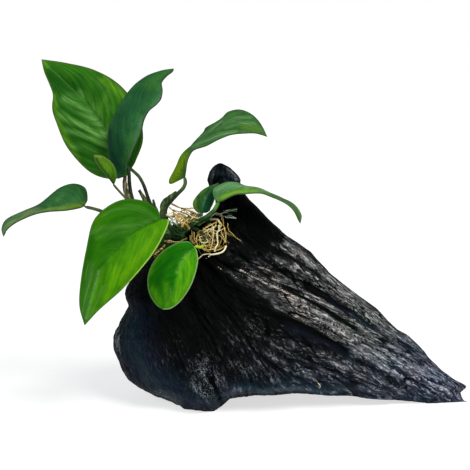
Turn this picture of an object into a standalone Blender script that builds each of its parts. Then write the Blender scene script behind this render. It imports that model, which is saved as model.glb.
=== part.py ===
"""Anubias barteri grown on a wedge of black driftwood.

Z is up, the photographed front faces -Y, and the origin is on the floor under the middle of the
whole object. Every outline is laid out on the front view's grid, which is worked out from the
wood's real length, and each point of it gets its own depth.
"""

import math

import bmesh
import bpy
from mathutils import Vector, noise
from mathutils.bvhtree import BVHTree

# Driving dimensions, in metres
WOOD_LENGTH = 0.202
BLADE_THICKNESS = 0.0009
BLADE_RIM = 0.0005
STALK_RADIUS = 0.00105
STALK_FOOT_RADIUS = 0.0016
RHIZOME_RADIUS = 0.005
GAP = 0.00035

# The front view's grid: across counts to the right and down counts downwards
WOOD_UNITS = 355
UNIT = WOOD_LENGTH / WOOD_UNITS
GRID_MIDDLE = 235
VIEW_DISTANCE = 0.65
VIEW_TILT = math.radians(10)
VIEW_HEIGHT = 0.097
ORIGIN = Vector((0.0025, -0.0118, 0.0))
MM = 0.001

# Driftwood: rows down the grid, and how far the wood reaches left and right on each
WOOD_LEFT = [
    (164, 217.5), (165.5, 214.5), (168, 212), (172, 209.5), (180, 208), (188, 210), (201, 216),
    (210, 218), (215, 212), (220, 203), (236, 178), (262, 150), (285, 130), (292, 126),
    (304, 127), (318, 121), (335, 113.5), (352, 116), (372, 121), (383, 127), (394, 138),
    (403, 152),
]
WOOD_RIGHT = [
    (164, 223), (165.5, 225.5), (168, 228.3), (171, 231), (181, 237.5), (190, 240), (206, 255),
    (223, 271.5), (238, 288), (248, 302), (265, 322), (284, 343), (297, 360), (309, 377),
    (331, 399), (350, 422), (370, 442), (380, 454), (388, 462), (403, 464),
]
# The two prongs at the end of the tail, as reach past the right outline
WOOD_PRONGS = [(376, 0), (386.5, 9), (392, -1), (397, 0), (403, 4)]
PRONG_SHARPNESS = 60
# The rows that the wood is built on, from the floor to the crown of the knob
WOOD_ROWS = [
    403, 397, 392, 386.5, 380, 371, 360, 348, 336, 324, 312, 300, 289, 278, 267, 256, 246, 237,
    228, 220, 213, 206, 199, 192, 185, 178, 172, 168, 165.5, 164,
]
# Half the wood's thickness in mm on each row, and how high its underside stands along the grid
WOOD_DEPTH = [
    (164, 4.5), (165.5, 6.5), (168, 8), (173, 10), (185, 12), (207, 13), (220, 17), (245, 23),
    (290, 28), (340, 31), (365, 30.5), (380, 28), (392, 23), (403, 17),
]
WOOD_UNDERSIDE = [
    (110, 13), (132, 12.5), (144, 10), (157, 6.5), (171, 4), (180, 1), (184, -2), (214, -2),
    (221, 3.5), (230, 8), (254, 10.3), (289, 10.3), (315, 9.5), (342, 7.8), (385, 4.5), (407, 2.6),
    (428, 1.2), (440, -1), (472, -1),
]
WOOD_TAPER = [(164, 0.0), (215, 0.25), (300, 0.5), (380, 0.68), (403, 0.7)]
# The outline wanders up and down by so many rows towards the front and back, below the knob
WOOD_WANDER = 22
WANDER_PITCH = 1.4
WANDER_ROWS = 60
KNOB_ROW = 205
WOOD_MID_LEFT = 3 * MM
WOOD_MID_RIGHT = -5 * MM
UNDERSIDE_REACH = 28 * MM
UNDERSIDE_FADE = 1.5
UNDERSIDE_BOW = 1.0 * MM
UNDERSIDE_STEPS = 4
CROWN_RISE = 0.6 * MM
WOOD_SIDES = 68

# The grain fans out from one point inside the shoulder; furrows are (angle, width, depth in mm)
GRAIN_CENTRE = (165, 215)
FURROWS = [
    (26, 2.6, 3.0), (36, 2.6, 2.0), (46, 3.2, 2.8), (58, 3.6, 2.2), (71, 4.2, 3.0),
    (86, 4.6, 2.4), (101, 5.0, 2.8),
]
GRAIN_WOBBLE = 3.5
GRAIN_WOBBLE_PITCH = 18
RIDGE_PITCH = 5.5
RIDGE_DEPTH = 3.0 * MM
LUMP_SIZE = 0.022
LUMP_DEPTH = 1.8 * MM
FULL_RELIEF_DEPTH = 12 * MM
OUTLINE_RELIEF = 0.3

# Blades: each is (base, tip, midrib, left rim, right rim), left as seen from base to tip with the
# upper face towards you. Points are across, down, and the depth in mm.
BLADES = {
    "upper_left": (
        (131.5, 168.5, 5), (41.5, 59.4, 18),
        [(121, 152, 7), (106, 130, 9), (88, 105, 12), (63, 80, 16)],
        [(126, 176, 5), (108, 179, 6), (90, 171.6, 8), (67, 147, 8), (52.5, 110, 11),
         (52.5, 90, 14), (44, 70, 17)],
        [(136, 160, 3), (143, 138, 3), (137, 108, 5), (119, 84.5, 9), (94, 70, 14),
         (66, 63, 17)],
    ),
    "upright": (
        (126.5, 168, -3), (173.7, 68.3, 4),
        [(127, 152, -6), (131, 134, -8), (137, 117, -8), (147, 98, -5), (159, 82, 0)],
        [(122.5, 176, -4), (116, 177, -5), (108.5, 156, -4), (110, 126, -3), (125, 97, -1),
         (144, 77.5, 2), (160, 71, 4)],
        [(129.5, 163, -4), (134.5, 147, -7), (142, 130, -9), (146, 117, -9), (157, 103, -8),
         (162.3, 92, -5), (161.8, 83, -2), (168.5, 76, 2)],
    ),
    "young": (
        (113, 183.5, -12), (94.5, 155, -15),
        [(108.5, 175.5, -14), (102.5, 167, -15), (97, 159, -15)],
        [(109, 181, -12), (102.5, 176, -12.5), (97, 168, -13), (94.6, 161, -14)],
        [(115.5, 179, -11), (115.3, 170, -12), (110, 160.3, -13), (101, 155.7, -14)],
    ),
    "front_large": (
        (161, 221, -31), (84.5, 325.4, -60),
        [(146, 226, -36), (128, 242, -44), (110, 260, -51), (95, 281, -57), (88, 303, -60)],
        [(168.5, 220.5, -31), (166, 230, -35), (156, 249, -42), (141.6, 268, -48),
         (122, 289.5, -53), (100, 309, -58)],
        [(158, 211, -28), (145, 201.5, -27), (125, 199.3, -29), (107, 207, -34), (93, 222, -40),
         (86.5, 248, -47), (81, 280, -54), (79.5, 305, -58)],
    ),
    "front_oval": (
        (194.5, 246.5, -33), (163, 309.5, -43),
        [(184.5, 255.5, -37.5), (177, 267, -41), (171.5, 283, -43.5), (167.5, 297, -44)],
        [(197, 252, -34), (197.6, 264, -37), (191.6, 284, -40), (181, 300.5, -42),
         (171, 308.3, -43)],
        [(187, 241.3, -33), (173, 244.5, -34), (158, 255.5, -36), (148.5, 273, -38),
         (148.5, 291, -40), (155.5, 304, -42)],
    ),
    "far_left": (
        (84.5, 206, -6), (3.2, 236.7, -10),
        [(76, 204.3, -9), (62, 207, -12), (45, 209.5, -13), (24, 216, -13), (9, 225.5, -12)],
        [(80, 208, -11), (66, 210.5, -17), (48, 211.8, -18), (33, 215, -16), (16, 222.8, -14),
         (6.5, 230.5, -12)],
        [(87.5, 199, -3), (85, 187.8, 1), (73, 183.8, 4), (58, 189, 4), (42, 203, 0),
         (24, 210.8, -5), (7, 219, -8), (1.8, 228, -10)],
    ),
    "arching_up": (
        (184.8, 177, -9), (267.4, 137.1, -17),
        [(187.3, 164, -10), (191, 152.5, -12), (201, 141, -13), (216, 129.5, -14),
         (233, 122.5, -15), (250, 122.5, -16), (260.5, 129, -17)],
        [(179, 180, -7), (171, 183.3, -5), (172, 173, -4), (179, 158.5, -4), (192, 145.5, -3),
         (204, 130, -2), (220, 119.3, -2), (235.7, 110.5, -4), (249, 112, -8),
         (260, 124.5, -14)],
        [(187, 173, -11), (188.7, 160, -16), (193.5, 151.3, -20), (206, 145.8, -24),
         (221, 137.8, -25), (240, 133.8, -23), (256, 133.6, -20)],
    ),
    "low_right": (
        (218, 202.5, -21), (300.4, 223.8, -27),
        [(221.5, 195.5, -23), (232, 190.3, -24.5), (247, 188.4, -25), (264, 191.5, -25),
         (281, 199.5, -26), (294, 210, -26.5)],
        [(214, 197, -20), (214, 187.5, -20), (226, 182.4, -19.5), (243, 184.3, -17),
         (262, 189.3, -16), (281, 197, -18), (296, 205.5, -22), (302, 216, -26)],
        [(223.5, 201, -25), (236, 195, -29), (252.7, 193, -31), (268, 196, -31),
         (283, 204.5, -30), (295, 214, -28)],
    ),
    "small_dark": (
        (202, 212.5, -17), (218.5, 182.5, -16),
        [(202.5, 205, -18), (206, 196.5, -18), (212, 188.5, -17)],
        [(197, 213, -16), (193, 207.5, -15.5), (196, 199, -15), (206, 189, -15.5)],
        [(206.5, 210.5, -16), (211, 203, -16), (213.3, 194, -15.5), (216.5, 187, -15.5)],
    ),
}
BLADE_ROWS = 10
BLADE_COLUMNS = 6
BLADE_CAMBER = 0.07

# Stalks run from just under their blade to their foot on the rhizome
STALKS = {
    "upper_left": [(131.5, 169.5, 6.5), (138, 175.5, 5), (142.5, 182.5, 4), (145.8, 191, 3),
                   (150, 203, 3), (157, 217, 2), (164, 231, -1), (167, 238, -4)],
    "upright": [(127.5, 166.5, 0), (129, 173, -1), (129.7, 186, -1), (132.5, 199, -2),
                (139, 213, -3), (149, 228, -3), (158, 241, -3), (161, 246, -3)],
    "young": [(113.8, 185, -10.5), (119, 191, -11), (125, 197.5, -12), (135, 210, -13),
              (146, 226, -12), (154, 240, -9), (157, 249, -4)],
    "front_large": [(163, 221, -28), (167.5, 225, -23), (171.5, 231, -17), (173, 235, -11),
                    (173, 236, -4)],
    "front_oval": [(196.5, 246.5, -31.5), (201.5, 246.8, -29.5), (205, 242, -27.5),
                   (203.5, 235, -24.5), (197, 229.5, -19), (188, 227, -5)],
    "far_left": [(86.2, 207, -5), (94, 208.8, -5), (105, 212.6, -5), (122, 221, -5),
                 (139, 234, -5), (148, 246, -4), (153, 251, -3)],
    "arching_up": [(184.8, 178.5, -8), (185.3, 183, -8), (183.3, 188, -8), (178, 193.5, -8),
                   (171, 201, -8), (165.5, 209, -8), (166, 219, -7), (171, 229, -6),
                   (174, 236, -5)],
    "low_right": [(217.5, 204, -19.5), (214, 210, -19), (208, 215.6, -18), (202, 219.2, -14),
                  (194, 224, -7)],
    "small_dark": [(200.8, 215, -16), (196, 215.4, -13.2), (190, 216.4, -10), (184, 227, -5)],
}
STALK_SIDES = 7
STALK_STEPS = 8
CURVE_STEPS = 8
STALK_FINE_STEPS = 120
STALK_CLEARANCE = 1.0 * MM

# Old leaf sheaths left standing beside the stalks: (points, radius in mm)
SHEATH_STEPS = 4
SHEATH_TIP = 0.7
SHEATHS = {
    "sheath_tall": ([(125.3, 178, -3.5), (125.7, 186, -4), (127.7, 196, -5), (132.5, 206, -6)], 1.1),
    "sheath_middle": ([(139.5, 191.5, 0), (142, 197, -0.5), (146, 206, -1), (151, 216, -2)], 0.9),
    "sheath_short": ([(153.3, 201, -1.5), (154.6, 206, -1.5), (158, 214, -2)], 0.8),
    "sheath_green": ([(176, 193, -11), (170, 198, -12), (163.7, 205, -12), (162, 216, -10.5)], 1.3),
}

RHIZOME = [
    (151, 253, -2), (161, 244, -3), (172, 236.5, -4), (182, 230, -5), (192, 224.5, -6.5),
    (198, 221, -8),
]
RHIZOME_SIDES = 14
RHIZOME_STEPS = 16
RHIZOME_RINGS = 5
RHIZOME_RING_SWELL = 0.07
RHIZOME_NARROWING = 0.25
RHIZOME_END = 0.12
RHIZOME_LUMPS = 0.12
RHIZOME_LUMP_PITCH = 260
RHIZOME_GAP = 0.0005

# Roots on the wood: (radius in mm, points across and down), each from the rhizome's side
ROOTS_ON_WOOD = {
    "root_thick": (0.8, [(211, 219), (218, 220), (219.5, 228), (217, 235), (218, 242),
                         (214.5, 251.5)]),
    "root_foot": (0.6, [(226.5, 246), (221.5, 252.5), (213.5, 254.5), (205.5, 254), (198, 259)]),
    "root_right": (0.5, [(216, 215), (222, 215), (223.5, 225), (226, 233), (227.5, 243)]),
    "root_inner": (0.5, [(208, 224), (213, 226), (213.5, 235), (209, 243), (210.5, 250)]),
    "root_left": (0.5, [(191.5, 236), (191.5, 240), (194.5, 245.5)]),
    "root_curl": (0.5, [(204, 228), (208, 232), (206, 238), (200.5, 240), (198.5, 235)]),
    "root_long": (0.45, [(228, 226), (231, 233), (236, 237.5), (241.5, 241)]),
    "root_neck": (0.5, [(225, 210.5), (230, 210.5), (236.5, 208.5)]),
    "root_neck_low": (0.45, [(226, 218), (231, 217.5), (237, 218.5)]),
}
ROOT_LIFT = 0.2 * MM
# Roots in the open air above the shoulder: (radius in mm, points with depth in mm)
ROOTS_IN_AIR = {
    "root_gold_top": (0.5, [(197, 215.5, -8), (190, 211.5, -6), (181, 208, -4), (171, 205, -3.5)]),
    "root_gold_upper": (0.5, [(193, 216.5, -4), (186, 214, -3), (178, 211.5, -2), (171, 209, -1)]),
    "root_gold_cross": (0.5, [(181, 220, -1), (183, 214, 1), (186, 207, 2)]),
    "root_gold_low": (0.6, [(185, 219.5, -10), (180, 216.5, -11), (173.5, 213.5, -11)]),
    "root_brown": (0.6, [(165, 245, -12), (160.5, 249.5, -15), (155, 254.5, -16)]),
    "root_beige": (0.5, [(179, 241, -13), (172, 242.5, -15), (165, 242.5, -16)]),
}
ROOT_SIDES = 5
ROOT_STEPS = 10
ROOT_TAPER = 0.35
SEARCH_DEPTH = 100
ROOT_DEPTH = 12

LEAF_GREENS = {
    "upper_left": (0.045, 0.16, 0.018), "upright": (0.012, 0.08, 0.03),
    "young": (0.12, 0.24, 0.012), "front_large": (0.06, 0.22, 0.012),
    "front_oval": (0.025, 0.16, 0.008), "far_left": (0.035, 0.12, 0.03),
    "arching_up": (0.05, 0.16, 0.035), "low_right": (0.11, 0.3, 0.07),
    "small_dark": (0.015, 0.075, 0.02),
}
WOOD_BLACK = (0.02, 0.022, 0.025)
RHIZOME_GREEN = (0.03, 0.1, 0.02)
STALK_GREEN = (0.04, 0.12, 0.02)
SHEATH_STRAW = (0.16, 0.14, 0.06)
ROOT_CREAM = (0.5, 0.4, 0.2)


def seen_at(across, down, behind):
    """The point that the grid shows at (across, down), on the plane y = behind."""
    forward = Vector((0, math.cos(VIEW_TILT), -math.sin(VIEW_TILT)))
    upward = Vector((0, math.sin(VIEW_TILT), math.cos(VIEW_TILT)))
    eye = Vector((0, 0, VIEW_HEIGHT)) - forward * VIEW_DISTANCE
    ray = forward * VIEW_DISTANCE + upward * (GRID_MIDDLE - down) * UNIT
    ray.x = (across - GRID_MIDDLE) * UNIT
    return eye + ray * ((behind - eye.y) / ray.y)


def grid_points(points):
    """Points of the grid with their depth in mm, as points in space."""
    return [seen_at(across, down, depth * MM) for across, down, depth in points]


def read_off(stations, where):
    """The value at one place of a list of (place, value) stations."""
    for (start, low), (end, high) in zip(stations, stations[1:]):
        if where <= end:
            share = max(0.0, (where - start) / (end - start))
            return low + (high - low) * share
    return stations[-1][1]


def smooth_path(points, steps):
    """Evenly spaced points along a smooth curve through the given ones."""
    line = []
    run = [points[0] * 2 - points[1], *points, points[-1] * 2 - points[-2]]
    for before, start, end, after in zip(run, run[1:], run[2:], run[3:]):
        for step in range(CURVE_STEPS):
            u = step / CURVE_STEPS
            bend = (before * 2 - start * 5 + end * 4 - after) * u * u
            turn = (start * 3 - before - end * 3 + after) * u ** 3
            line.append((start * 2 + (end - before) * u + bend + turn) / 2)
    line.append(points[-1])
    reach = [0.0]
    for start, end in zip(line, line[1:]):
        reach.append(reach[-1] + (end - start).length)
    path = []
    span = 0
    for step in range(steps + 1):
        target = reach[-1] * step / steps
        while span < len(line) - 2 and reach[span + 1] < target:
            span += 1
        share = (target - reach[span]) / (reach[span + 1] - reach[span])
        path.append(line[span].lerp(line[span + 1], min(1.0, share)))
    return path


def material(name, colour, roughness):
    """A plain surface: base colour and roughness."""
    made = bpy.data.materials.new(name)
    made.use_nodes = True
    surface = made.node_tree.nodes["Principled BSDF"]
    surface.inputs["Base Color"].default_value = (*colour, 1)
    surface.inputs["Roughness"].default_value = roughness
    surface.inputs["Metallic"].default_value = 0.0
    return made


def add_piece(name, points, faces, surface):
    """One closed solid with its faces pointing out, its origin in its own middle."""
    mesh = bpy.data.meshes.new(name)
    shape = bmesh.new()
    corners = [shape.verts.new(point) for point in points]
    for face in faces:
        shape.faces.new([corners[index] for index in face])
    finish_piece(shape, mesh)
    return place_piece(name, mesh, surface)


def finish_piece(shape, mesh):
    """Triangles, outward faces and smooth shading."""
    bmesh.ops.triangulate(shape, faces=shape.faces[:])
    bmesh.ops.recalc_face_normals(shape, faces=shape.faces[:])
    shape.to_mesh(mesh)
    shape.free()
    mesh.shade_smooth()


def place_piece(name, mesh, surface):
    """The object for a mesh, moved from the view's frame to the part's origin."""
    middle = sum((corner.co for corner in mesh.vertices), Vector()) / len(mesh.vertices)
    for corner in mesh.vertices:
        corner.co -= middle
    mesh.materials.append(surface)
    piece = bpy.data.objects.new(name, mesh)
    piece.location = middle - ORIGIN
    bpy.context.scene.collection.objects.link(piece)
    return piece


def grain_relief(point):
    """How far the wood's face stands out at a point: ridges and furrows fan out along the grain."""
    arm = point - seen_at(*GRAIN_CENTRE, 0.0)
    angle = math.degrees(math.atan2(-arm.z, arm.x))
    angle += GRAIN_WOBBLE * noise.noise(point * GRAIN_WOBBLE_PITCH)
    cut = sum(depth * math.exp(-(((angle - at) / width) ** 2)) for at, width, depth in FURROWS)
    facing = min(1.0, abs(point.y) / FULL_RELIEF_DEPTH)
    ridge = noise.noise(arm.normalized() * RIDGE_PITCH)
    lump = noise.noise(point / LUMP_SIZE)
    return RIDGE_DEPTH * ridge + LUMP_DEPTH * lump + (1 - cut) * MM * facing


def wood_point(row, turn):
    """The wood's surface on one row of the grid, turned from the right end through the back."""
    ring = Vector((math.cos(turn), math.sin(turn), 0)) * WANDER_PITCH
    wander = noise.noise(ring + Vector((0, 0, row / WANDER_ROWS)))
    below_knob = min(1.0, max(0.0, (row - KNOB_ROW) / WOOD_WANDER))
    outline_row = row + WOOD_WANDER * wander * below_knob * math.sin(turn) ** 2
    left = seen_at(read_off(WOOD_LEFT, outline_row), row, WOOD_MID_LEFT)
    right = seen_at(read_off(WOOD_RIGHT, outline_row), row, WOOD_MID_RIGHT)
    share = (1 + math.cos(turn)) / 2
    point = left.lerp(right, share)
    point.x += read_off(WOOD_PRONGS, row) * UNIT * share ** PRONG_SHARPNESS
    taper = read_off(WOOD_TAPER, row)
    depth = read_off(WOOD_DEPTH, row) * MM * (1 - taper * math.cos(turn))
    point.y += depth * math.sin(turn)
    outward = Vector((OUTLINE_RELIEF * math.cos(turn), math.sin(turn), 0.0))
    fade = min(1.0, depth / FULL_RELIEF_DEPTH)
    return lifted(point + outward * grain_relief(point) * fade)


def lifted(point):
    """Raise the low part of the wood so that it arches between its foot and its tail."""
    if point.z < UNDERSIDE_REACH:
        across = GRID_MIDDLE + point.x / UNIT
        share = (1 - max(0.0, point.z) / UNDERSIDE_REACH) ** UNDERSIDE_FADE
        point.z += read_off(WOOD_UNDERSIDE, across) * MM * share
    return point


def driftwood_shape():
    """The wood's points and faces before its feet are cut flat."""
    points = []
    for row in WOOD_ROWS:
        for side in range(WOOD_SIDES):
            points.append(wood_point(row, 2 * math.pi * side / WOOD_SIDES))
    faces = []
    for level in range(len(WOOD_ROWS) - 1):
        low = level * WOOD_SIDES
        high = low + WOOD_SIDES
        for side in range(WOOD_SIDES):
            beside = (side + 1) % WOOD_SIDES
            faces.append((low + side, low + beside, high + beside, high + side))
    top = (len(WOOD_ROWS) - 1) * WOOD_SIDES
    crown = sum(points[top:], Vector()) / WOOD_SIDES + Vector((0, 0, CROWN_RISE))
    points.append(crown)
    for side in range(WOOD_SIDES):
        beside = (side + 1) % WOOD_SIDES
        faces.append((top + side, top + beside, len(points) - 1))
    close_underside(points, faces)
    return points, faces


def close_underside(points, faces):
    """Strips from front to back under the wood, which follow the arch."""
    half = WOOD_SIDES // 2
    strips = [[0] * (UNDERSIDE_STEPS + 1)]
    for side in range(1, half):
        back = points[side]
        front = points[WOOD_SIDES - side]
        strip = [side]
        for step in range(1, UNDERSIDE_STEPS):
            point = back.lerp(front, step / UNDERSIDE_STEPS)
            point.z += UNDERSIDE_BOW * math.sin(math.pi * step / UNDERSIDE_STEPS)
            strip.append(len(points))
            points.append(point)
        strip.append(WOOD_SIDES - side)
        strips.append(strip)
    strips.append([half] * (UNDERSIDE_STEPS + 1))
    for near, far in zip(strips, strips[1:]):
        for step in range(UNDERSIDE_STEPS):
            corners = [near[step], far[step], far[step + 1], near[step + 1]]
            faces.append(tuple(dict.fromkeys(corners)))


def build_driftwood():
    """The black wood wedge, cut flat where its foot and its tail rest."""
    points, faces = driftwood_shape()
    shape = bmesh.new()
    corners = [shape.verts.new(point) for point in points]
    for face in faces:
        shape.faces.new([corners[index] for index in face])
    everything = shape.verts[:] + shape.edges[:] + shape.faces[:]
    cut = bmesh.ops.bisect_plane(
        shape, geom=everything, dist=1e-6, plane_co=(0, 0, 0), plane_no=(0, 0, 1),
        clear_inner=True,
    )
    rims = [part for part in cut["geom_cut"] if isinstance(part, bmesh.types.BMEdge)]
    bmesh.ops.holes_fill(shape, edges=rims, sides=0)
    mesh = bpy.data.meshes.new("driftwood")
    finish_piece(shape, mesh)
    tree = BVHTree.FromPolygons(
        [corner.co.copy() for corner in mesh.vertices],
        [tuple(face.vertices) for face in mesh.polygons],
    )
    place_piece("driftwood", mesh, material("black_wood", WOOD_BLACK, 0.75))
    return tree


def pushed_out(point, tree, gap):
    """A point moved out of a solid, or off its face, until it stands the gap away."""
    near, normal, _, distance = tree.find_nearest(point)
    inside = (point - near).dot(normal) < 0
    if inside or distance < gap:
        return near + normal * gap
    return point


def bar_shape(path, radii, sides, lumps=0.0):
    """Points and faces of a round bar along a path, closed at both ends."""
    points = []
    tangent = (path[1] - path[0]).normalized()
    across = tangent.orthogonal().normalized()
    for index, centre in enumerate(path):
        ahead = path[min(index + 1, len(path) - 1)]
        behind = path[max(index - 1, 0)]
        tangent = (ahead - behind).normalized()
        across = (across - tangent * across.dot(tangent)).normalized()
        upward = tangent.cross(across)
        for side in range(sides):
            turn = 2 * math.pi * side / sides
            out = across * math.cos(turn) + upward * math.sin(turn)
            lump = noise.noise((centre + out * radii[index]) * RHIZOME_LUMP_PITCH)
            swell = 1 + lumps * lump
            points.append(centre + out * radii[index] * swell)
    faces = []
    for ring in range(len(path) - 1):
        low = ring * sides
        for side in range(sides):
            beside = (side + 1) % sides
            faces.append((low + side, low + beside, low + sides + beside, low + sides + side))
    last = (len(path) - 1) * sides
    faces.append(tuple(reversed(range(sides))))
    faces.append(tuple(range(last, last + sides)))
    return points, faces


def build_rhizome(wood):
    """The creeping stem on the wood's shoulder, ringed where old leaves stood."""
    path = smooth_path(grid_points(RHIZOME), RHIZOME_STEPS)
    radii = []
    for step in range(RHIZOME_STEPS + 1):
        share = step / RHIZOME_STEPS
        round_end = math.sqrt(max(RHIZOME_END, 1 - (2 * share - 1) ** 6))
        ring = 1 + RHIZOME_RING_SWELL * math.cos(2 * math.pi * share * RHIZOME_RINGS)
        radii.append(RHIZOME_RADIUS * round_end * ring * (1 - RHIZOME_NARROWING * share))
    points, faces = bar_shape(path, radii, RHIZOME_SIDES, lumps=RHIZOME_LUMPS)
    points = [pushed_out(point, wood, RHIZOME_GAP) for point in points]
    add_piece("rhizome", points, faces, material("rhizome_green", RHIZOME_GREEN, 0.5))
    return BVHTree.FromPolygons(points, faces)


def blade_sheet(base, tip, midrib, left, right):
    """Rows of points across a blade, and the direction its upper face looks on each."""
    rails = [
        smooth_path([base, *grid_points(rail), tip], BLADE_ROWS)
        for rail in (left, midrib, right)
    ]
    sheet = []
    for row in range(1, BLADE_ROWS):
        left_rim, middle, right_rim = (rail[row] for rail in rails)
        along = rails[1][row + 1] - rails[1][row - 1]
        points = []
        for column in range(BLADE_COLUMNS + 1):
            share = 2 * column / BLADE_COLUMNS - 1
            rim = left_rim if share < 0 else right_rim
            half = rim - middle
            face = half.cross(along) if share > 0 else along.cross(half)
            if share == 0:
                face = (right_rim - left_rim).cross(along)
            face.normalize()
            swell = BLADE_CAMBER * half.length * 4 * abs(share) * (1 - abs(share))
            thick = BLADE_RIM + (BLADE_THICKNESS - BLADE_RIM) * (1 - abs(share))
            points.append((middle + half * abs(share) + face * swell, face * thick / 2))
        sheet.append(points)
    return sheet


def build_blade(name, rails):
    """One leaf blade as a thin closed solid between its upper and lower face."""
    base, tip = grid_points(rails[:2])
    sheet = blade_sheet(base, tip, *rails[2:])
    wide = BLADE_COLUMNS + 1
    points = [point + lift for row in sheet for point, lift in row]
    under = len(points)
    points += [point - lift for row in sheet for point, lift in row]
    base_index, tip_index = len(points), len(points) + 1
    points += [base, tip]
    faces = []
    for row in range(len(sheet) - 1):
        for column in range(BLADE_COLUMNS):
            low = row * wide + column
            quad = (low, low + 1, low + wide + 1, low + wide)
            faces.append(quad)
            faces.append(tuple(under + index for index in reversed(quad)))
        for column in (0, BLADE_COLUMNS):
            low = row * wide + column
            faces.append((low, low + wide, under + low + wide, under + low))
    last = (len(sheet) - 1) * wide
    for end, first in ((base_index, 0), (tip_index, last)):
        for column in range(BLADE_COLUMNS):
            faces.append((end, first + column, first + column + 1))
            faces.append((end, under + first + column + 1, under + first + column))
        for column in (0, BLADE_COLUMNS):
            faces.append((end, first + column, under + first + column))
    surface = material(f"{name}_green", LEAF_GREENS[name], 0.35)
    add_piece(f"leaf_{name}", points, faces, surface)


def cut_short(path, tree, clearance):
    """The stretch of a path before it comes within the clearance of a solid."""
    kept = []
    for point in path:
        if tree.find_nearest(point)[3] < clearance:
            break
        kept.append(point)
    return kept


def build_stalk(name, route, rhizome):
    """The stalk of one leaf, from its blade down to the rhizome."""
    path = smooth_path(grid_points(route), STALK_FINE_STEPS)
    path = smooth_path(cut_short(path, rhizome, STALK_CLEARANCE), STALK_STEPS)
    radii = [
        STALK_RADIUS + (STALK_FOOT_RADIUS - STALK_RADIUS) * (step / STALK_STEPS) ** 2
        for step in range(STALK_STEPS + 1)
    ]
    points, faces = bar_shape(path, radii, STALK_SIDES)
    points = [pushed_out(point, rhizome, GAP) for point in points]
    add_piece(f"stalk_{name}", points, faces, material("stalk_green", STALK_GREEN, 0.4))


def build_sheath(name, points, radius):
    """An old sheath: a short tapering bar."""
    path = smooth_path(grid_points(points), SHEATH_STEPS)
    radii = [radius * MM * SHEATH_TIP] + [radius * MM] * SHEATH_STEPS
    shape = bar_shape(path, radii, STALK_SIDES)
    add_piece(name, *shape, material("dry_sheath", SHEATH_STRAW, 0.6))


def build_root(name, path, radius, wood):
    """One root as a thin round bar."""
    path = smooth_path(path, ROOT_STEPS)
    path = [pushed_out(point, wood, radius * MM + GAP) for point in path]
    radii = [
        radius * MM * (1 - ROOT_TAPER * step / ROOT_STEPS) for step in range(ROOT_STEPS + 1)
    ]
    shape = bar_shape(path, radii, ROOT_SIDES)
    add_piece(name, *shape, material("root_cream", ROOT_CREAM, 0.7))


def laid_on_wood(wood, points, lift):
    """Where the grid shows a root on the wood's face."""
    laid = []
    for across, down in points:
        near = seen_at(across, down, -SEARCH_DEPTH * MM)
        far = seen_at(across, down, SEARCH_DEPTH * MM)
        hit, normal, _, _ = wood.ray_cast(near, (far - near).normalized())
        if hit is None:
            hit, normal, _, _ = wood.find_nearest(seen_at(across, down, -ROOT_DEPTH * MM))
        laid.append(hit + normal * lift)
    return laid


def build_roots(wood):
    """All the roots."""
    for name, (radius, points) in ROOTS_ON_WOOD.items():
        lift = radius * MM + GAP + ROOT_LIFT
        build_root(name, laid_on_wood(wood, points, lift), radius, wood)
    for name, (radius, points) in ROOTS_IN_AIR.items():
        build_root(name, grid_points(points), radius, wood)


def main():
    for leftover in list(bpy.data.objects):
        bpy.data.objects.remove(leftover)
    wood = build_driftwood()
    rhizome = build_rhizome(wood)
    for name, rails in BLADES.items():
        build_blade(name, rails)
    for name, route in STALKS.items():
        build_stalk(name, route, rhizome)
    for name, (points, radius) in SHEATHS.items():
        build_sheath(name, points, radius)
    build_roots(wood)


main()
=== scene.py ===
"""Finished surfaces of the anubias on driftwood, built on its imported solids.

Outlines are laid out on the front view's grid, as in the solids, and then moved to the part's frame.
"""

import math
import random

import bpy
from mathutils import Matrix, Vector, noise
from mathutils.bvhtree import BVHTree


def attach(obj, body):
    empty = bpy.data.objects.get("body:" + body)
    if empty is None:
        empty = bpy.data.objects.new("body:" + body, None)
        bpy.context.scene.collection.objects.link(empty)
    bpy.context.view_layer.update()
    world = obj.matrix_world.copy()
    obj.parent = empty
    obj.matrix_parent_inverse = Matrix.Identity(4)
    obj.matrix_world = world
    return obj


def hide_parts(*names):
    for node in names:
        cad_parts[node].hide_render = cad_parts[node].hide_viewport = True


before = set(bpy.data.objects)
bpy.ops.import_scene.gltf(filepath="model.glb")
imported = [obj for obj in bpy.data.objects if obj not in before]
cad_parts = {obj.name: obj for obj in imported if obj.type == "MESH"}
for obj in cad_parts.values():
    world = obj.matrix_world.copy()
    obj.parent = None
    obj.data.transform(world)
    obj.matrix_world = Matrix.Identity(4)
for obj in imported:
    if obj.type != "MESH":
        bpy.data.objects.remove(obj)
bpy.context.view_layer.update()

# The front view's grid, from the wood's real length
WOOD_LENGTH = 0.202
WOOD_UNITS = 355
UNIT = WOOD_LENGTH / WOOD_UNITS
GRID_MIDDLE = 235
VIEW_DISTANCE = 0.65
VIEW_TILT = math.radians(10)
VIEW_HEIGHT = 0.097
ORIGIN = Vector((0.0025, -0.0118, 0.0))
MM = 0.001
FORWARD = Vector((0, math.cos(VIEW_TILT), -math.sin(VIEW_TILT)))
UPWARD = Vector((0, math.sin(VIEW_TILT), math.cos(VIEW_TILT)))
EYE = Vector((0, 0, VIEW_HEIGHT)) - FORWARD * VIEW_DISTANCE

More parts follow.
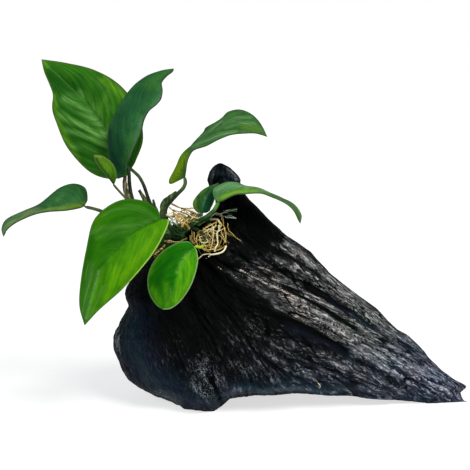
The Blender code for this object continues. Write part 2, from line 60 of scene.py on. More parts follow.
# Driftwood: its outline on each row, and half its thickness in mm
WOOD_LEFT = [
    (164, 217.5), (165.5, 214.5), (168, 212), (172, 209.5), (180, 208), (188, 210), (201, 216),
    (210, 218), (215, 212), (220, 203), (236, 176), (250, 156), (262, 142), (276, 130),
    (284, 127.5), (288, 125.2), (292, 124.6), (297.6, 127), (304, 129.4), (310, 126.6),
    (315.5, 123.2), (321, 119.3), (326, 118.2), (329, 115.3), (335, 113.3), (347, 113.2),
    (358, 118.3), (370, 121.5), (383, 127), (394, 138), (403, 152),
]
WOOD_RIGHT = [
    (164, 223), (165.5, 226), (167.7, 230.3), (171.5, 234.4), (175.5, 237.6), (179.5, 239.4),
    (182.5, 239.2), (186, 241), (192, 243.8), (200, 249.3), (206, 255.5),
    (223, 271.5), (236, 285.5), (243, 297), (252, 310), (262, 319), (273, 329.5), (284, 343),
    (297, 360), (309, 377), (320, 388.5), (329.5, 398.8), (335, 409), (343, 417.5), (351, 425),
    (358, 429.8), (365, 437), (370.5, 442), (374, 448), (380, 455.5), (384, 462), (388, 463),
    (403, 464),
]
WOOD_PRONGS = [(378, 0), (386, 5), (391.5, -2.5), (397, -1), (403, 4)]
PRONG_SHARPNESS = 60
WOOD_DEPTH = [
    (164, 4.5), (165.5, 6.5), (168, 8), (173, 10), (185, 12), (207, 13), (220, 17), (245, 23),
    (290, 28), (340, 31), (365, 30.5), (380, 28), (392, 23), (403, 17),
]
# How far the underside is raised, in mm, at places across the grid
WOOD_UNDERSIDE = [
    (110, 7), (138, 6.2), (152, 6.4), (160, 6.6), (171, 5), (179, 2.6), (184, -2), (214, -2),
    (221, 3.5), (230, 8.3), (254, 11.1), (289, 10.9), (315, 10.3), (342, 8.6), (385, 5.5),
    (407, 3.5), (428, 1.7), (440, -1), (472, -1),
]
# How much thinner the right side is than the left, on each row
WOOD_TAPER = [(164, 0.0), (215, 0.25), (300, 0.5), (380, 0.68), (403, 0.7)]
WOOD_WANDER = 22
WANDER_PITCH = 1.4
WANDER_ROWS = 60
KNOB_ROW = 205
WOOD_MID_LEFT = 3 * MM
WOOD_MID_RIGHT = -5 * MM
UNDERSIDE_REACH = 28 * MM
UNDERSIDE_FADE = 1.5
UNDERSIDE_BOW = 1.0 * MM
UNDERSIDE_STEPS = 6
CROWN_RISE = 0.6 * MM
WOOD_ROWS = 224
WOOD_SIDES = 400
KNOB_CROWDING = 0.9
RIM_SPREAD = 0.2
FLOOR_LIFT = 0.02 * MM

# The grain fans out from one point inside the shoulder
GRAIN_CENTRE = (165, 215)
FURROWS = [
    (26, 2.6, 3.0), (36, 2.6, 2.0), (46, 3.2, 2.8), (58, 3.6, 2.2), (71, 4.2, 3.0),
    (86, 4.6, 2.4), (101, 5.0, 2.8),
]
GRAIN_WOBBLE = 3.5
GRAIN_WOBBLE_PITCH = 18
RIDGE_PITCH = 5.5
RIDGE_DEPTH = 3.0 * MM
LUMP_SIZE = 0.022
LUMP_DEPTH = 1.8 * MM
FULL_RELIEF_DEPTH = 12 * MM
OUTLINE_RELIEF = 0.3

# Lines that the grain follows, right rim first: where each one crosses these rows of the grid
GRAIN_ROWS = (164, 190, 215, 236, 260, 284, 300, 325, 350, 375, 390, 412)
GRAIN_LINES = [
    (223.5, 241, 264, 286, 316, 344, 365, 393, 423, 449, 468, 490),
    (223, 238, 246, 246, 268, 304, 331, 370, 412, 444, 463, 484),
    (222.5, 235, 232, 214, 218, 268, 304, 346, 386, 429, 456, 478),
    (222, 232, 227, 203, 207, 224, 247, 300, 349, 382, 404, 444),
    (221.5, 229, 224, 198, 201, 217, 230, 256, 290, 339, 369, 420),
    (221, 226, 221, 193, 198, 211, 223, 242, 266, 299, 325, 370),
    (220.5, 223, 219, 189, 192, 205, 214, 234, 252, 270, 280, 296),
    (220, 220, 217, 186, 180, 187, 195, 208, 223, 236, 243, 250),
    (219, 217, 215, 183, 165, 163, 169, 180, 190.5, 199, 203, 208),
    (218, 214, 213, 180, 156, 144, 147, 160, 171, 182, 188, 193),
    (217.5, 211, 211, 177, 150, 129, 126, 117, 112, 120, 130, 165),
]
# How far across the grain each of these lines lies, in cm
GRAIN_SPREAD = (0, 1.0, 1.8, 3.1, 4.2, 4.8, 5.5, 6.9, 8.6, 9.4, 12.8)
# How deep in the wood the grain's third number is nought, in cm
GRAIN_DEPTH = 3.0

# Long grooves on the wood's face: (half width on the grid, depth in mm, points)
GROOVES = [
    (1.4, 1.5, [(258, 256), (275, 267), (290, 277), (301, 281), (313, 289), (326, 296)]),
    (2.8, 2.6, [(306, 284), (326, 296), (336, 303), (350, 312)]),
    (1.6, 1.6, [(350, 312), (361, 319), (374, 328)]),
    (1.0, 1.5, [(276, 262), (290, 270.5), (304, 278.5), (317, 284.5), (330, 290)]),
    (1.8, 1.8, [(288, 292), (300, 298), (313, 304.5), (326, 311), (336, 318), (356, 331)]),
    (2.8, 1.6, [(326, 311), (336, 318), (348, 325.5)]),
    (1.1, 1.2, [(243, 266.5), (256, 274), (272, 282), (290, 290), (306, 298), (330, 311)]),
    (1.0, 1.0, [(336, 322), (352, 334), (368, 342), (384, 351)]),
    (3.6, 1.8, [(262, 309), (278, 317), (300, 325), (322, 337), (345, 350)]),
    (2.2, 0.8, [(345, 350), (370, 366), (398, 386)]),
    (1.8, 1.6, [(399, 342), (406, 346), (418, 354)]),
    (1.4, 1.2, [(390, 352), (402, 356), (414, 362)]),
    (1.2, 1.5, [(424, 377), (440, 384), (452, 389), (461, 392)]),
    (1.0, 1.0, [(404, 379), (418, 386), (434, 392), (452, 399)]),
    (1.0, 0.8, [(412, 392), (430, 397), (448, 402)]),
    (1.6, 1.2, [(300, 262), (312, 270), (324, 280), (336, 288)]),
    (1.0, 0.8, [(330, 286), (350, 298), (370, 312), (388, 328)]),
    (1.5, 1.2, [(232, 224), (244, 240), (258, 253), (272, 262)]),
    (1.2, 1.0, [(244, 222), (256, 234), (268, 244), (282, 252)]),
    (2.0, 1.4, [(156, 306), (164, 325), (176, 351), (186, 372)]),
    (1.5, 1.0, [(178, 322), (187, 339), (199, 376)]),
    (1.8, 1.2, [(222, 310), (237, 325), (256, 355), (268, 372)]),
    (1.4, 0.9, [(206, 322), (220, 344), (232, 366)]),
    (2.2, 2.6, [(210, 380), (214, 388), (219, 398), (221, 404)]),
    (1.2, 1.0, [(294, 353), (318, 366), (341, 376), (366, 388)]),
    (1.0, 0.9, [(276, 352), (300, 370), (330, 384)]),
    (1.2, 1.0, [(300, 340), (326, 354), (352, 370), (376, 382)]),
    (1.5, 1.2, [(213, 180), (224, 176), (234, 182)]),
    (1.0, 1.0, [(216, 188), (228, 186), (238, 192)]),
]
# Raised ridges: (half width on the grid, height in mm, points)
RIDGES = [
    (4.0, 1.2, [(270, 256), (296, 268), (324, 283), (352, 303), (384, 328), (412, 352)]),
    (3.5, 1.2, [(292, 286), (318, 297), (344, 313), (372, 333), (396, 347)]),
    (5.0, 1.4, [(276, 300), (304, 314), (332, 326), (362, 344), (396, 362), (440, 384)]),
    (3.0, 0.9, [(236, 276), (262, 289), (290, 304)]),
    (4.0, 1.0, [(300, 348), (330, 360), (360, 376)]),
    (6.0, 1.8, [(140, 318), (136, 345), (150, 374)]),
    (5.0, 1.2, [(196, 382), (206, 398)]),
]
# Tones on the wood's face: grey worn fibres, a painted bluish sheen, a tan streak, darker patches
# and painted glints. Each stroke is (half width on the grid, strength, points)
GREY_STROKES = [
    (7, 0.75, [(288, 246), (296, 252), (310, 264), (330, 281), (360, 303), (390, 329), (420, 353)]),
    (4, 0.4, [(262, 238), (276, 243), (290, 252)]),
    (4, 0.35, [(244, 240), (256, 247), (268, 254)]),
    (3, 0.5, [(286, 238), (300, 250), (318, 266)]),
    (3, 0.4, [(346, 292), (366, 306)]),
    (5, 0.6, [(268, 254), (284, 264), (296, 272), (306, 277)]),
    (5, 0.8, [(304, 277), (318, 287)]),
    (4, 0.5, [(246, 270), (262, 280), (280, 290)]),
    (4, 0.7, [(352, 310), (376, 328)]),
    (6, 0.7, [(274, 302), (290, 311), (320, 328), (356, 350), (396, 374), (430, 392)]),
    (8, 0.5, [(322, 374), (336, 381), (352, 387), (372, 390), (400, 392), (440, 398)]),
    (7, 0.5, [(346, 365), (362, 374), (382, 381)]),
    (5, 0.6, [(296, 276), (308, 282), (324, 291)]),
    (4, 0.5, [(336, 343), (347, 349), (358, 356)]),
    (6, 0.35, [(286, 338), (302, 347), (318, 357)]),
    (6, 0.5, [(370, 393), (420, 399), (455, 402)]),
    (12, 0.3, [(256, 366), (290, 378), (325, 386), (360, 393)]),
    (6, 0.5, [(318, 352), (330, 360), (345, 373)]),
    (5, 0.35, [(254, 344), (266, 352), (290, 362)]),
    # The next two brighten the painted sheen along the bottom edge and on the knob
    (3, 0.6, [(232, 391), (286, 388), (340, 392), (390, 397)]),
    (8, 0.4, [(214, 170), (226, 176)]),
    (7, 0.8, [(296, 268), (330, 287), (356, 306), (384, 328), (410, 349)]),
    (6, 0.5, [(258, 262), (276, 272), (296, 282)]),
    (5, 0.8, [(276, 280), (296, 289), (330, 308), (356, 324), (384, 343), (410, 359)]),
    (8, 1.0, [(290, 301), (312, 314), (336, 328), (366, 346), (402, 366), (446, 386)]),
    (14, 0.6, [(430, 366), (464, 394)]),
    (3, 0.7, [(214, 264), (224, 270), (238, 277)]),
    (3, 0.4, [(236, 272), (262, 284), (290, 299)]),
    (5, 0.4, [(236, 276), (262, 291), (286, 303)]),
    (12, 0.25, [(246, 326), (282, 348), (320, 364), (360, 382), (392, 392)]),
    (9, 0.25, [(200, 362), (212, 374), (222, 386)]),
    (4, 0.5, [(194, 388), (204, 397)]),
    (10, 0.22, [(222, 320), (240, 340), (262, 362)]),
    (8, 0.12, [(176, 318), (190, 344), (200, 366)]),
    (4, 0.6, [(330, 340), (342, 347), (352, 354)]),
    (4, 0.5, [(295, 366), (308, 374), (320, 382)]),
    (5, 0.4, [(348, 377), (364, 384), (380, 389)]),
    # The last four are painted highlights, on the left rim and on the knob
    (1.5, 0.9, [(117, 330), (116.5, 340), (119, 350)]),
    (1.2, 0.9, [(225, 167), (231, 171.5), (235, 176), (238, 181)]),
    (1.6, 0.6, [(219, 173), (226, 177), (231, 182)]),
    (1.2, 0.7, [(211.5, 168), (213, 172)]),
]
# Painted bluish sheen, on the lower left lobe, the bottom edge, the knob and the tail
SLATE_SHEEN_STROKES = [
    (17, 1.0, [(134, 322), (134, 350), (148, 376), (180, 398)]),
    (8, 1.0, [(188, 404), (212, 403), (236, 391), (290, 388), (340, 392)]),
    (9, 1.0, [(214, 172), (228, 180)]),
    (4, 0.4, [(286, 326), (318, 340), (345, 352)]),
    (3, 0.8, [(330, 300), (352, 314), (376, 330)]),
    (3, 0.6, [(400, 343), (418, 355)]),
    (4, 0.3, [(340, 359), (360, 368), (378, 377), (390, 388), (414, 397)]),
    (7, 0.45, [(340, 386), (372, 391), (400, 396), (460, 400)]),
]
TAN_STROKES = [
    (1.3, 0.9, [(240, 270), (250, 275.5), (265, 283), (280.5, 290), (295.5, 296.5), (306, 301.5)]),
    (1.2, 0.7, [(306, 301.5), (314, 306), (327, 314)]),
    (1.2, 0.85, [(217, 266.5), (224, 271), (236, 277)]),
    (4, 0.35, [(306, 312), (326, 322), (352, 338), (372, 352)]),
    (2.5, 0.5, [(322, 288), (332, 293)]),
    (3, 0.35, [(376, 354), (392, 366)]),
]
DARK_STROKES = [
    (18, 1.0, [(204, 250), (212, 276), (222, 300)]),
    (10, 0.9, [(236, 290), (248, 304)]),
    (14, 1.3, [(232, 220), (246, 212), (258, 234)]),
    (7, 0.6, [(256, 222), (268, 236)]),
    (14, 1.1, [(140, 284), (152, 300), (178, 318)]),
    (9, 0.8, [(196, 296), (200, 320), (196, 345)]),
    (5, 0.9, [(185, 288), (189, 312), (191, 338)]),
    (7, 1.0, [(137, 288), (141, 302), (153, 324), (160, 340)]),
    (6, 0.6, [(206, 300), (214, 322), (222, 340)]),
    (4, 0.9, [(262, 306), (290, 321), (320, 336), (346, 349)]),
]
# Painted glints, at the foot, the left rim, the knob and low on the face
GLINT_STROKES = [
    (8, 0.9, [(202, 368), (208, 376), (216, 387)]),
    (4, 0.5, [(198, 352), (206, 360)]),
    (5, 0.9, [(196, 386), (205, 393)]),
    (5, 0.7, [(236, 366), (246, 372)]),
    (1.6, 1.0, [(117, 330), (116.5, 344), (121, 358)]),
    (3, 0.5, [(158, 391), (176, 399)]),
    (3, 0.6, [(224, 166), (232, 174), (238, 181)]),
]
# The back's even worn grey, and its even painted sheen
BACK_GREY = 0.45
BACK_SLATE_SHEEN = 0.15
WOOD_MARKS = {
    "groove": GROOVES, "ridge": RIDGES, "grey": GREY_STROKES, "slate": SLATE_SHEEN_STROKES,
    "tan": TAN_STROKES, "dark": DARK_STROKES, "glint": GLINT_STROKES,
}


def seen_at(across, down, behind):
    """The point that the grid shows at (across, down), on the plane y = behind."""
    ray = FORWARD * VIEW_DISTANCE + UPWARD * (GRID_MIDDLE - down) * UNIT
    ray.x = (across - GRID_MIDDLE) * UNIT
    return EYE + ray * ((behind - EYE.y) / ray.y)


def on_grid(point):
    """Where the grid shows a point."""
    arm = point - EYE
    scale = VIEW_DISTANCE / UNIT / arm.dot(FORWARD)
    return GRID_MIDDLE + arm.x * scale, GRID_MIDDLE - arm.dot(UPWARD) * scale


def grid_points(points):
    """Points of the grid with their depth in mm, as points in space."""
    return [seen_at(across, down, depth * MM) for across, down, depth in points]


def read_off(stations, where):
    """The value at one place of a list of (place, value) stations."""
    for (start, low), (end, high) in zip(stations, stations[1:]):
        if where <= end:
            share = max(0.0, (where - start) / (end - start))
            return low + (high - low) * share
    return stations[-1][1]


def smooth_path(points, steps):
    """Evenly spaced points along a smooth curve through the given ones."""
    pieces = max(4, steps // len(points))
    line = []
    run = [points[0] * 2 - points[1], *points, points[-1] * 2 - points[-2]]
    for before, start, end, after in zip(run, run[1:], run[2:], run[3:]):
        for step in range(pieces):
            u = step / pieces
            bend = (before * 2 - start * 5 + end * 4 - after) * u * u
            turn = (start * 3 - before - end * 3 + after) * u ** 3
            line.append((start * 2 + (end - before) * u + bend + turn) / 2)
    line.append(points[-1])
    reach = [0.0]
    for start, end in zip(line, line[1:]):
        reach.append(reach[-1] + (end - start).length)
    path = []
    span = 0
    for step in range(steps + 1):
        target = reach[-1] * step / steps
        while span < len(line) - 2 and reach[span + 1] < target:
            span += 1
        share = (target - reach[span]) / (reach[span + 1] - reach[span])
        path.append(line[span].lerp(line[span + 1], min(1.0, share)))
    return path


def add_piece(name, points, faces, finish, slot, replaced, grain=None, **values):
    """A smooth mesh that rides with the part. Its finish reads numbers on its points, and where
    each point lies in the grain."""
    mesh = bpy.data.meshes.new(name)
    mesh.from_pydata([point - ORIGIN for point in points], [], faces)
    mesh.shade_smooth()
    for label, numbers in values.items():
        layer = mesh.attributes.new(label, "FLOAT", "POINT")
        layer.data.foreach_set("value", numbers)
    if grain:
        layer = mesh.attributes.new("grain", "FLOAT_VECTOR", "POINT")
        layer.data.foreach_set("vector", [number for place in grain for number in place])
    mesh.materials.append(finish)
    piece = bpy.data.objects.new(name, mesh)
    bpy.context.scene.collection.objects.link(piece)
    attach(piece, "root")
    if replaced:
        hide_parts(*replaced)


class Number:
    """A number that varies over a surface. Arithmetic on it adds Math nodes."""

    def __init__(self, recipe, socket):
        self.recipe = recipe
        self.socket = socket

    def maths(self, operation, *others):
        """One step of arithmetic, with this number first."""
        inputs = dict(enumerate((self, *others)))
        return self.recipe.add("ShaderNodeMath", {"operation": operation}, inputs)

    def __add__(self, other):
        return self.maths("ADD", other)

    def __mul__(self, other):
        return self.maths("MULTIPLY", other)

    def __sub__(self, other):
        return self.maths("SUBTRACT", other)

    def __rsub__(self, other):
        return self.maths("MULTIPLY_ADD", -1.0, other)

    def __pow__(self, other):
        return self.maths("POWER", other)

    def __abs__(self):
        return self.maths("ABSOLUTE")

    __radd__ = __add__
    __rmul__ = __mul__


class Recipe:
    """A finish being put together from nodes."""

    def __init__(self, name, **constants):
        self.material = bpy.data.materials.new(name)
        self.material.use_nodes = True
        self.tree = self.material.node_tree
        self.surface = self.tree.nodes["Principled BSDF"]
        for socket, value in constants.items():
            self.surface.inputs[socket.replace("_", " ")].default_value = value

    def add(self, kind, settings, inputs, output=0):
        """A node with its settings, then the values or links of its sockets."""
        node = self.tree.nodes.new(kind)
        for name, value in settings.items():
            if name == "stops":
                self.set_stops(node.color_ramp, value)
            else:
                setattr(node, name, value)
        for key, value in inputs.items():
            if isinstance(value, Number):
                self.tree.links.new(value.socket, node.inputs[key])
            else:
                node.inputs[key].default_value = value
        return Number(self, node.outputs[output])

    def set_stops(self, ramp, stops):
        """A colour ramp's stops: (place, colour)."""
        while len(ramp.elements) < len(stops):
            ramp.elements.new(1.0)
        for element, (place, colour) in zip(ramp.elements, stops):
            element.position = place
            element.color = (*colour, 1)

    def value_of(self, label):
        """A number that the surface's points carry."""
        return self.add("ShaderNodeAttribute", {"attribute_name": label}, {}, "Fac")

    def place(self):
        """Where a point of the surface lies, in metres."""
        return self.add("ShaderNodeTexCoord", {}, {}, "Object")

    def vector(self, operation, first, second):
        """Two vectors put together."""
        return self.add("ShaderNodeVectorMath", {"operation": operation}, {0: first, 1: second})

    def join(self, x, y, z):
        """Three numbers as one vector."""
        return self.add("ShaderNodeCombineXYZ", {}, {0: x, 1: y, 2: z})

    def mottle(self, vector, scale, detail=3.0, rough=0.55, output=0):
        """Soft noise from 0 to 1."""
        inputs = {"Vector": vector, "Scale": scale, "Detail": detail, "Roughness": rough}
        return self.add("ShaderNodeTexNoise", {}, inputs, output)

    def fade(self, value, low, high):
        """0 at low, 1 at high, smooth between."""
        inputs = {"Value": value, 1: low, 2: high, 3: 0.0, 4: 1.0}
        return self.add("ShaderNodeMapRange", {"interpolation_type": "SMOOTHSTEP"}, inputs)

    def blend(self, factor, first, second):
        """Two colours mixed."""
        return self.mixed("MIX", factor, first, second)

    def mixed(self, way, factor, first, second):
        """Two colours put together: mixed, multiplied or added."""
        if not isinstance(first, Number):
            first = (*first, 1)
        if not isinstance(second, Number):
            second = (*second, 1)
        inputs = {0: factor, 6: first, 7: second}
        return self.add("ShaderNodeMix", {"data_type": "RGBA", "blend_type": way}, inputs, 2)

    def bump(self, height, distance, strength):
        """Fine relief under the light, its distance in metres."""
        inputs = {"Height": height, "Distance": distance, "Strength": strength}
        return self.add("ShaderNodeBump", {}, inputs)

    def finish(self, **links):
        """Joins the results to the surface's sockets."""
        for socket, value in links.items():
            self.tree.links.new(value.socket, self.surface.inputs[socket.replace("_", " ")])
        return self.material


GRAIN_HEART = seen_at(*GRAIN_CENTRE, 0.0)


def grain_relief(point):
    """How far the wood's face stands out at a point: ridges and furrows fan out along the grain."""
    arm = point - GRAIN_HEART
    angle = math.degrees(math.atan2(-arm.z, arm.x))
    angle += GRAIN_WOBBLE * noise.noise(point * GRAIN_WOBBLE_PITCH)
    cut = sum(depth * math.exp(-(((angle - at) / width) ** 2)) for at, width, depth in FURROWS)
    facing = min(1.0, abs(point.y) / FULL_RELIEF_DEPTH)
    ridge = noise.noise(arm.normalized() * RIDGE_PITCH)
    lump = noise.noise(point / LUMP_SIZE)
    return RIDGE_DEPTH * ridge + LUMP_DEPTH * lump + (1 - cut) * MM * facing


def stroke_at(strokes, across, down):
    """The strongest of some soft strokes at one place of the grid."""
    best = 0.0
    for wide, strength, points in strokes:
        for (x0, y0), (x1, y1) in zip(points, points[1:]):
            run = (x1 - x0) ** 2 + (y1 - y0) ** 2
            share = ((across - x0) * (x1 - x0) + (down - y0) * (y1 - y0)) / run
            share = min(1.0, max(0.0, share))
            off_x = across - x0 - share * (x1 - x0)
            off_y = down - y0 - share * (y1 - y0)
            near = (off_x * off_x + off_y * off_y) / (wide * wide)
            if near < 6:
                best = max(best, strength * math.exp(-near))
    return best


def trace_grain():
    """On each whole row of the grid, where the grain lines cross it and how long they are there."""
    first = GRAIN_ROWS[0]
    lines = [list(zip(GRAIN_ROWS, line)) for line in GRAIN_LINES]
    crossings = [read_off(line, first) for line in lines]
    lengths = [0.0] * len(lines)
    rows = [(crossings, lengths)]
    for row in range(first + 1, GRAIN_ROWS[-1] + 2):
        here = [read_off(line, row) for line in lines]
        lengths = [
            length + math.hypot(end - start, 1) * UNIT * 100
            for length, start, end in zip(lengths, crossings, here)
        ]
        crossings = here
        rows.append((crossings, lengths))
    return rows


GRAIN_TABLE = trace_grain()


def grain_place(across, down, depth):
    """A place in the grain, in cm: across the fibres, along them, and round the wood's edge."""
    down = min(max(down - GRAIN_ROWS[0], 0.0), len(GRAIN_TABLE) - 2)
    row = int(down)
    share = down - row
    (low, low_reach), (high, high_reach) = GRAIN_TABLE[row], GRAIN_TABLE[row + 1]
    crossings = [start + (end - start) * share for start, end in zip(low, high)]
    line = 0
    while line < len(crossings) - 2 and across < crossings[line + 1]:
        line += 1
    part = (across - crossings[line]) / (crossings[line + 1] - crossings[line])
    part = min(1.3, max(-0.3, part))
    spread = GRAIN_SPREAD[line] + (GRAIN_SPREAD[line + 1] - GRAIN_SPREAD[line]) * part
    near = low_reach[line] + (high_reach[line] - low_reach[line]) * share
    far = low_reach[line + 1] + (high_reach[line + 1] - low_reach[line + 1]) * share
    return Vector((spread, near + (far - near) * part, depth))


def grain_depth(row, turn):
    """How deep in the grain the wood's skin lies, in cm: even over the face, deeper at the rims."""
    thickness = read_off(WOOD_DEPTH, row) * (1 - read_off(WOOD_TAPER, row) * math.cos(turn)) / 10
    turned = (1 - abs(math.sin(turn))) ** 2
    if math.sin(turn) > 0:
        turned = 2 - turned
    return thickness * turned - GRAIN_DEPTH


def along_grain(grain, pitch, stretch, shift=0.0):
    """Noise drawn out along the grain, with this many changes in a cm across it."""
    return noise.noise(Vector((
        grain.x * pitch + shift, grain.y * pitch / stretch, grain.z * pitch,
    )))


def fibre_relief(grain, calm):
    """Fine fibres and cracks along the grain, in mm, and how deep in a crack the point is."""
    grain = grain + Vector((along_grain(grain, 0.9, 2.0, 4.0) * 0.35, 0, 0))
    broad = along_grain(grain, 1.4, 6)
    coarse = along_grain(grain, 3.0, 7)
    fine = along_grain(grain, 6.0, 7)
    finest = along_grain(grain, 11.0, 5)
    line = abs(along_grain(grain, 2.0, 8, 6.4))
    line_fine = abs(along_grain(grain, 4.5, 7, 11.3))
    crack = max(0.0, 1 - line / 0.08)
    crack_fine = max(0.0, 1 - line_fine / 0.12)
    height = 1.1 * broad + 0.9 * coarse + 0.9 * fine + 0.5 * finest - 1.1 * crack - 0.6 * crack_fine
    return height * (1 - 0.7 * calm), max(crack, 0.7 * crack_fine) * (1 - 0.6 * calm)


def wood_point(row, turn):
    """A point of the wood's plain form, and the way out of the wood there."""
    ring = Vector((math.cos(turn), math.sin(turn), 0)) * WANDER_PITCH
    wander = noise.noise(ring + Vector((0, 0, row / WANDER_ROWS)))
    below_knob = min(1.0, max(0.0, (row - KNOB_ROW) / WOOD_WANDER))
    outline_row = row + WOOD_WANDER * wander * below_knob * math.sin(turn) ** 2
    left = seen_at(read_off(WOOD_LEFT, outline_row), row, WOOD_MID_LEFT)
    right = seen_at(read_off(WOOD_RIGHT, outline_row), row, WOOD_MID_RIGHT)
    share = (1 + math.cos(turn)) / 2
    point = left.lerp(right, share)
    point.x += read_off(WOOD_PRONGS, row) * UNIT * share ** PRONG_SHARPNESS
    taper = read_off(WOOD_TAPER, row)
    depth = read_off(WOOD_DEPTH, row) * MM * (1 - taper * math.cos(turn))
    point.y += depth * math.sin(turn)
    outward = Vector((OUTLINE_RELIEF * math.cos(turn), math.sin(turn), 0.0))
    fade = min(1.0, depth / FULL_RELIEF_DEPTH)
    return lifted(point + outward * grain_relief(point) * fade), outward * fade


def lifted(point):
    """Raise the low part of the wood so that it arches between its foot and its tail."""
    if point.z < UNDERSIDE_REACH:
        across = GRID_MIDDLE + point.x / UNIT
        share = (1 - max(0.0, point.z) / UNDERSIDE_REACH) ** UNDERSIDE_FADE
        point.z += read_off(WOOD_UNDERSIDE, across) * MM * share
    return point


def frayed(grain, across, down):
    """A place on the grid moved a little, so that strokes on the wood get torn edges."""
    shift = along_grain(grain, 2.2, 7, 2.0) * 5.0 + along_grain(grain, 5.5, 7, 7.0) * 4.0
    return across + shift * 0.5, down + shift


def build_driftwood(finish):
    """The black wood, with its fibres, cracks and the tones of its face, among them painted sheen,
    glints and shade. Gives back its faces, to lay roots on."""
    points = []
    grains = []
    tones = {label: [] for label in ("grey", "slate", "tan", "dark", "glint", "crack")}
    top_row = WOOD_LEFT[0][0]
    last_row = WOOD_LEFT[-1][0]
    for level in range(WOOD_ROWS):
        share = level / (WOOD_ROWS - 1)
        row = last_row - (last_row - top_row) * math.sin(share * math.pi / 2) ** KNOB_CROWDING
        for side in range(WOOD_SIDES):
            turn = 2 * math.pi * side / WOOD_SIDES
            turn += RIM_SPREAD * math.sin(2 * turn)
            point, outward = wood_point(row, turn)
            across, down = on_grid(point)
            # The drawn marks fade out round the rims
            front = min(1.0, max(0.0, 0.3 - 1.4 * math.sin(turn)))
            grain = grain_place(across, down, grain_depth(row, turn))
            grains.append(grain)
            marks = dict.fromkeys(WOOD_MARKS, 0.0)
            if front:
                torn = frayed(grain, across, down)
                for label, strokes in WOOD_MARKS.items():
                    where = (across, down) if label == "tan" else torn
                    marks[label] = stroke_at(strokes, *where) * front
            height, crack = fibre_relief(grain, min(1.0, marks["slate"] * 0.8))
            point += outward * (height + marks["ridge"] - marks["groove"]) * MM
            points.append(point)
            # How much painted shade the cracks and grooves get
            marks["crack"] = min(1.0, max(crack, marks["groove"] * 0.5))
            marks["grey"] += BACK_GREY * (1 - front)
            marks["slate"] += BACK_SLATE_SHEEN * (1 - front)
            for label, numbers in tones.items():
                numbers.append(marks[label])
    faces = []
    for level in range(WOOD_ROWS - 1):
        low = level * WOOD_SIDES
        high = low + WOOD_SIDES
        for side in range(WOOD_SIDES):
            beside = (side + 1) % WOOD_SIDES
            faces.append((low + side, low + beside, high + beside, high + side))
    top = (WOOD_ROWS - 1) * WOOD_SIDES
    points.append(sum(points[top:], Vector()) / WOOD_SIDES + Vector((0, 0, CROWN_RISE)))
    for side in range(WOOD_SIDES):
        faces.append((top + side, top + (side + 1) % WOOD_SIDES, len(points) - 1))
    close_underside(points, faces)
    for point in points:
        point.z = max(FLOOR_LIFT, point.z)
    for numbers in tones.values():
        numbers.extend([0.0] * (len(points) - len(numbers)))
    grains += [grain_place(*on_grid(point), point.y * 100) for point in points[len(grains):]]
    add_piece("wood_surface", points, faces, finish, "black_wood", ["driftwood"], grains, **tones)
    return BVHTree.FromPolygons(points, faces)


def close_underside(points, faces):
    """Strips from front to back under the wood, which follow the arch."""
    half = WOOD_SIDES // 2
    strips = [[0] * (UNDERSIDE_STEPS + 1)]
    for side in range(1, half):
        back = points[side]
        front = points[WOOD_SIDES - side]
        strip = [side]
        for step in range(1, UNDERSIDE_STEPS):
            point = back.lerp(front, step / UNDERSIDE_STEPS)
            point.z += UNDERSIDE_BOW * math.sin(math.pi * step / UNDERSIDE_STEPS)
            strip.append(len(points))
            points.append(point)
        strip.append(WOOD_SIDES - side)
        strips.append(strip)
    strips.append([half] * (UNDERSIDE_STEPS + 1))
    for near, far in zip(strips, strips[1:]):
        for step in range(UNDERSIDE_STEPS):
            corners = [near[step], near[step + 1], far[step + 1], far[step]]
            faces.append(tuple(dict.fromkeys(corners)))


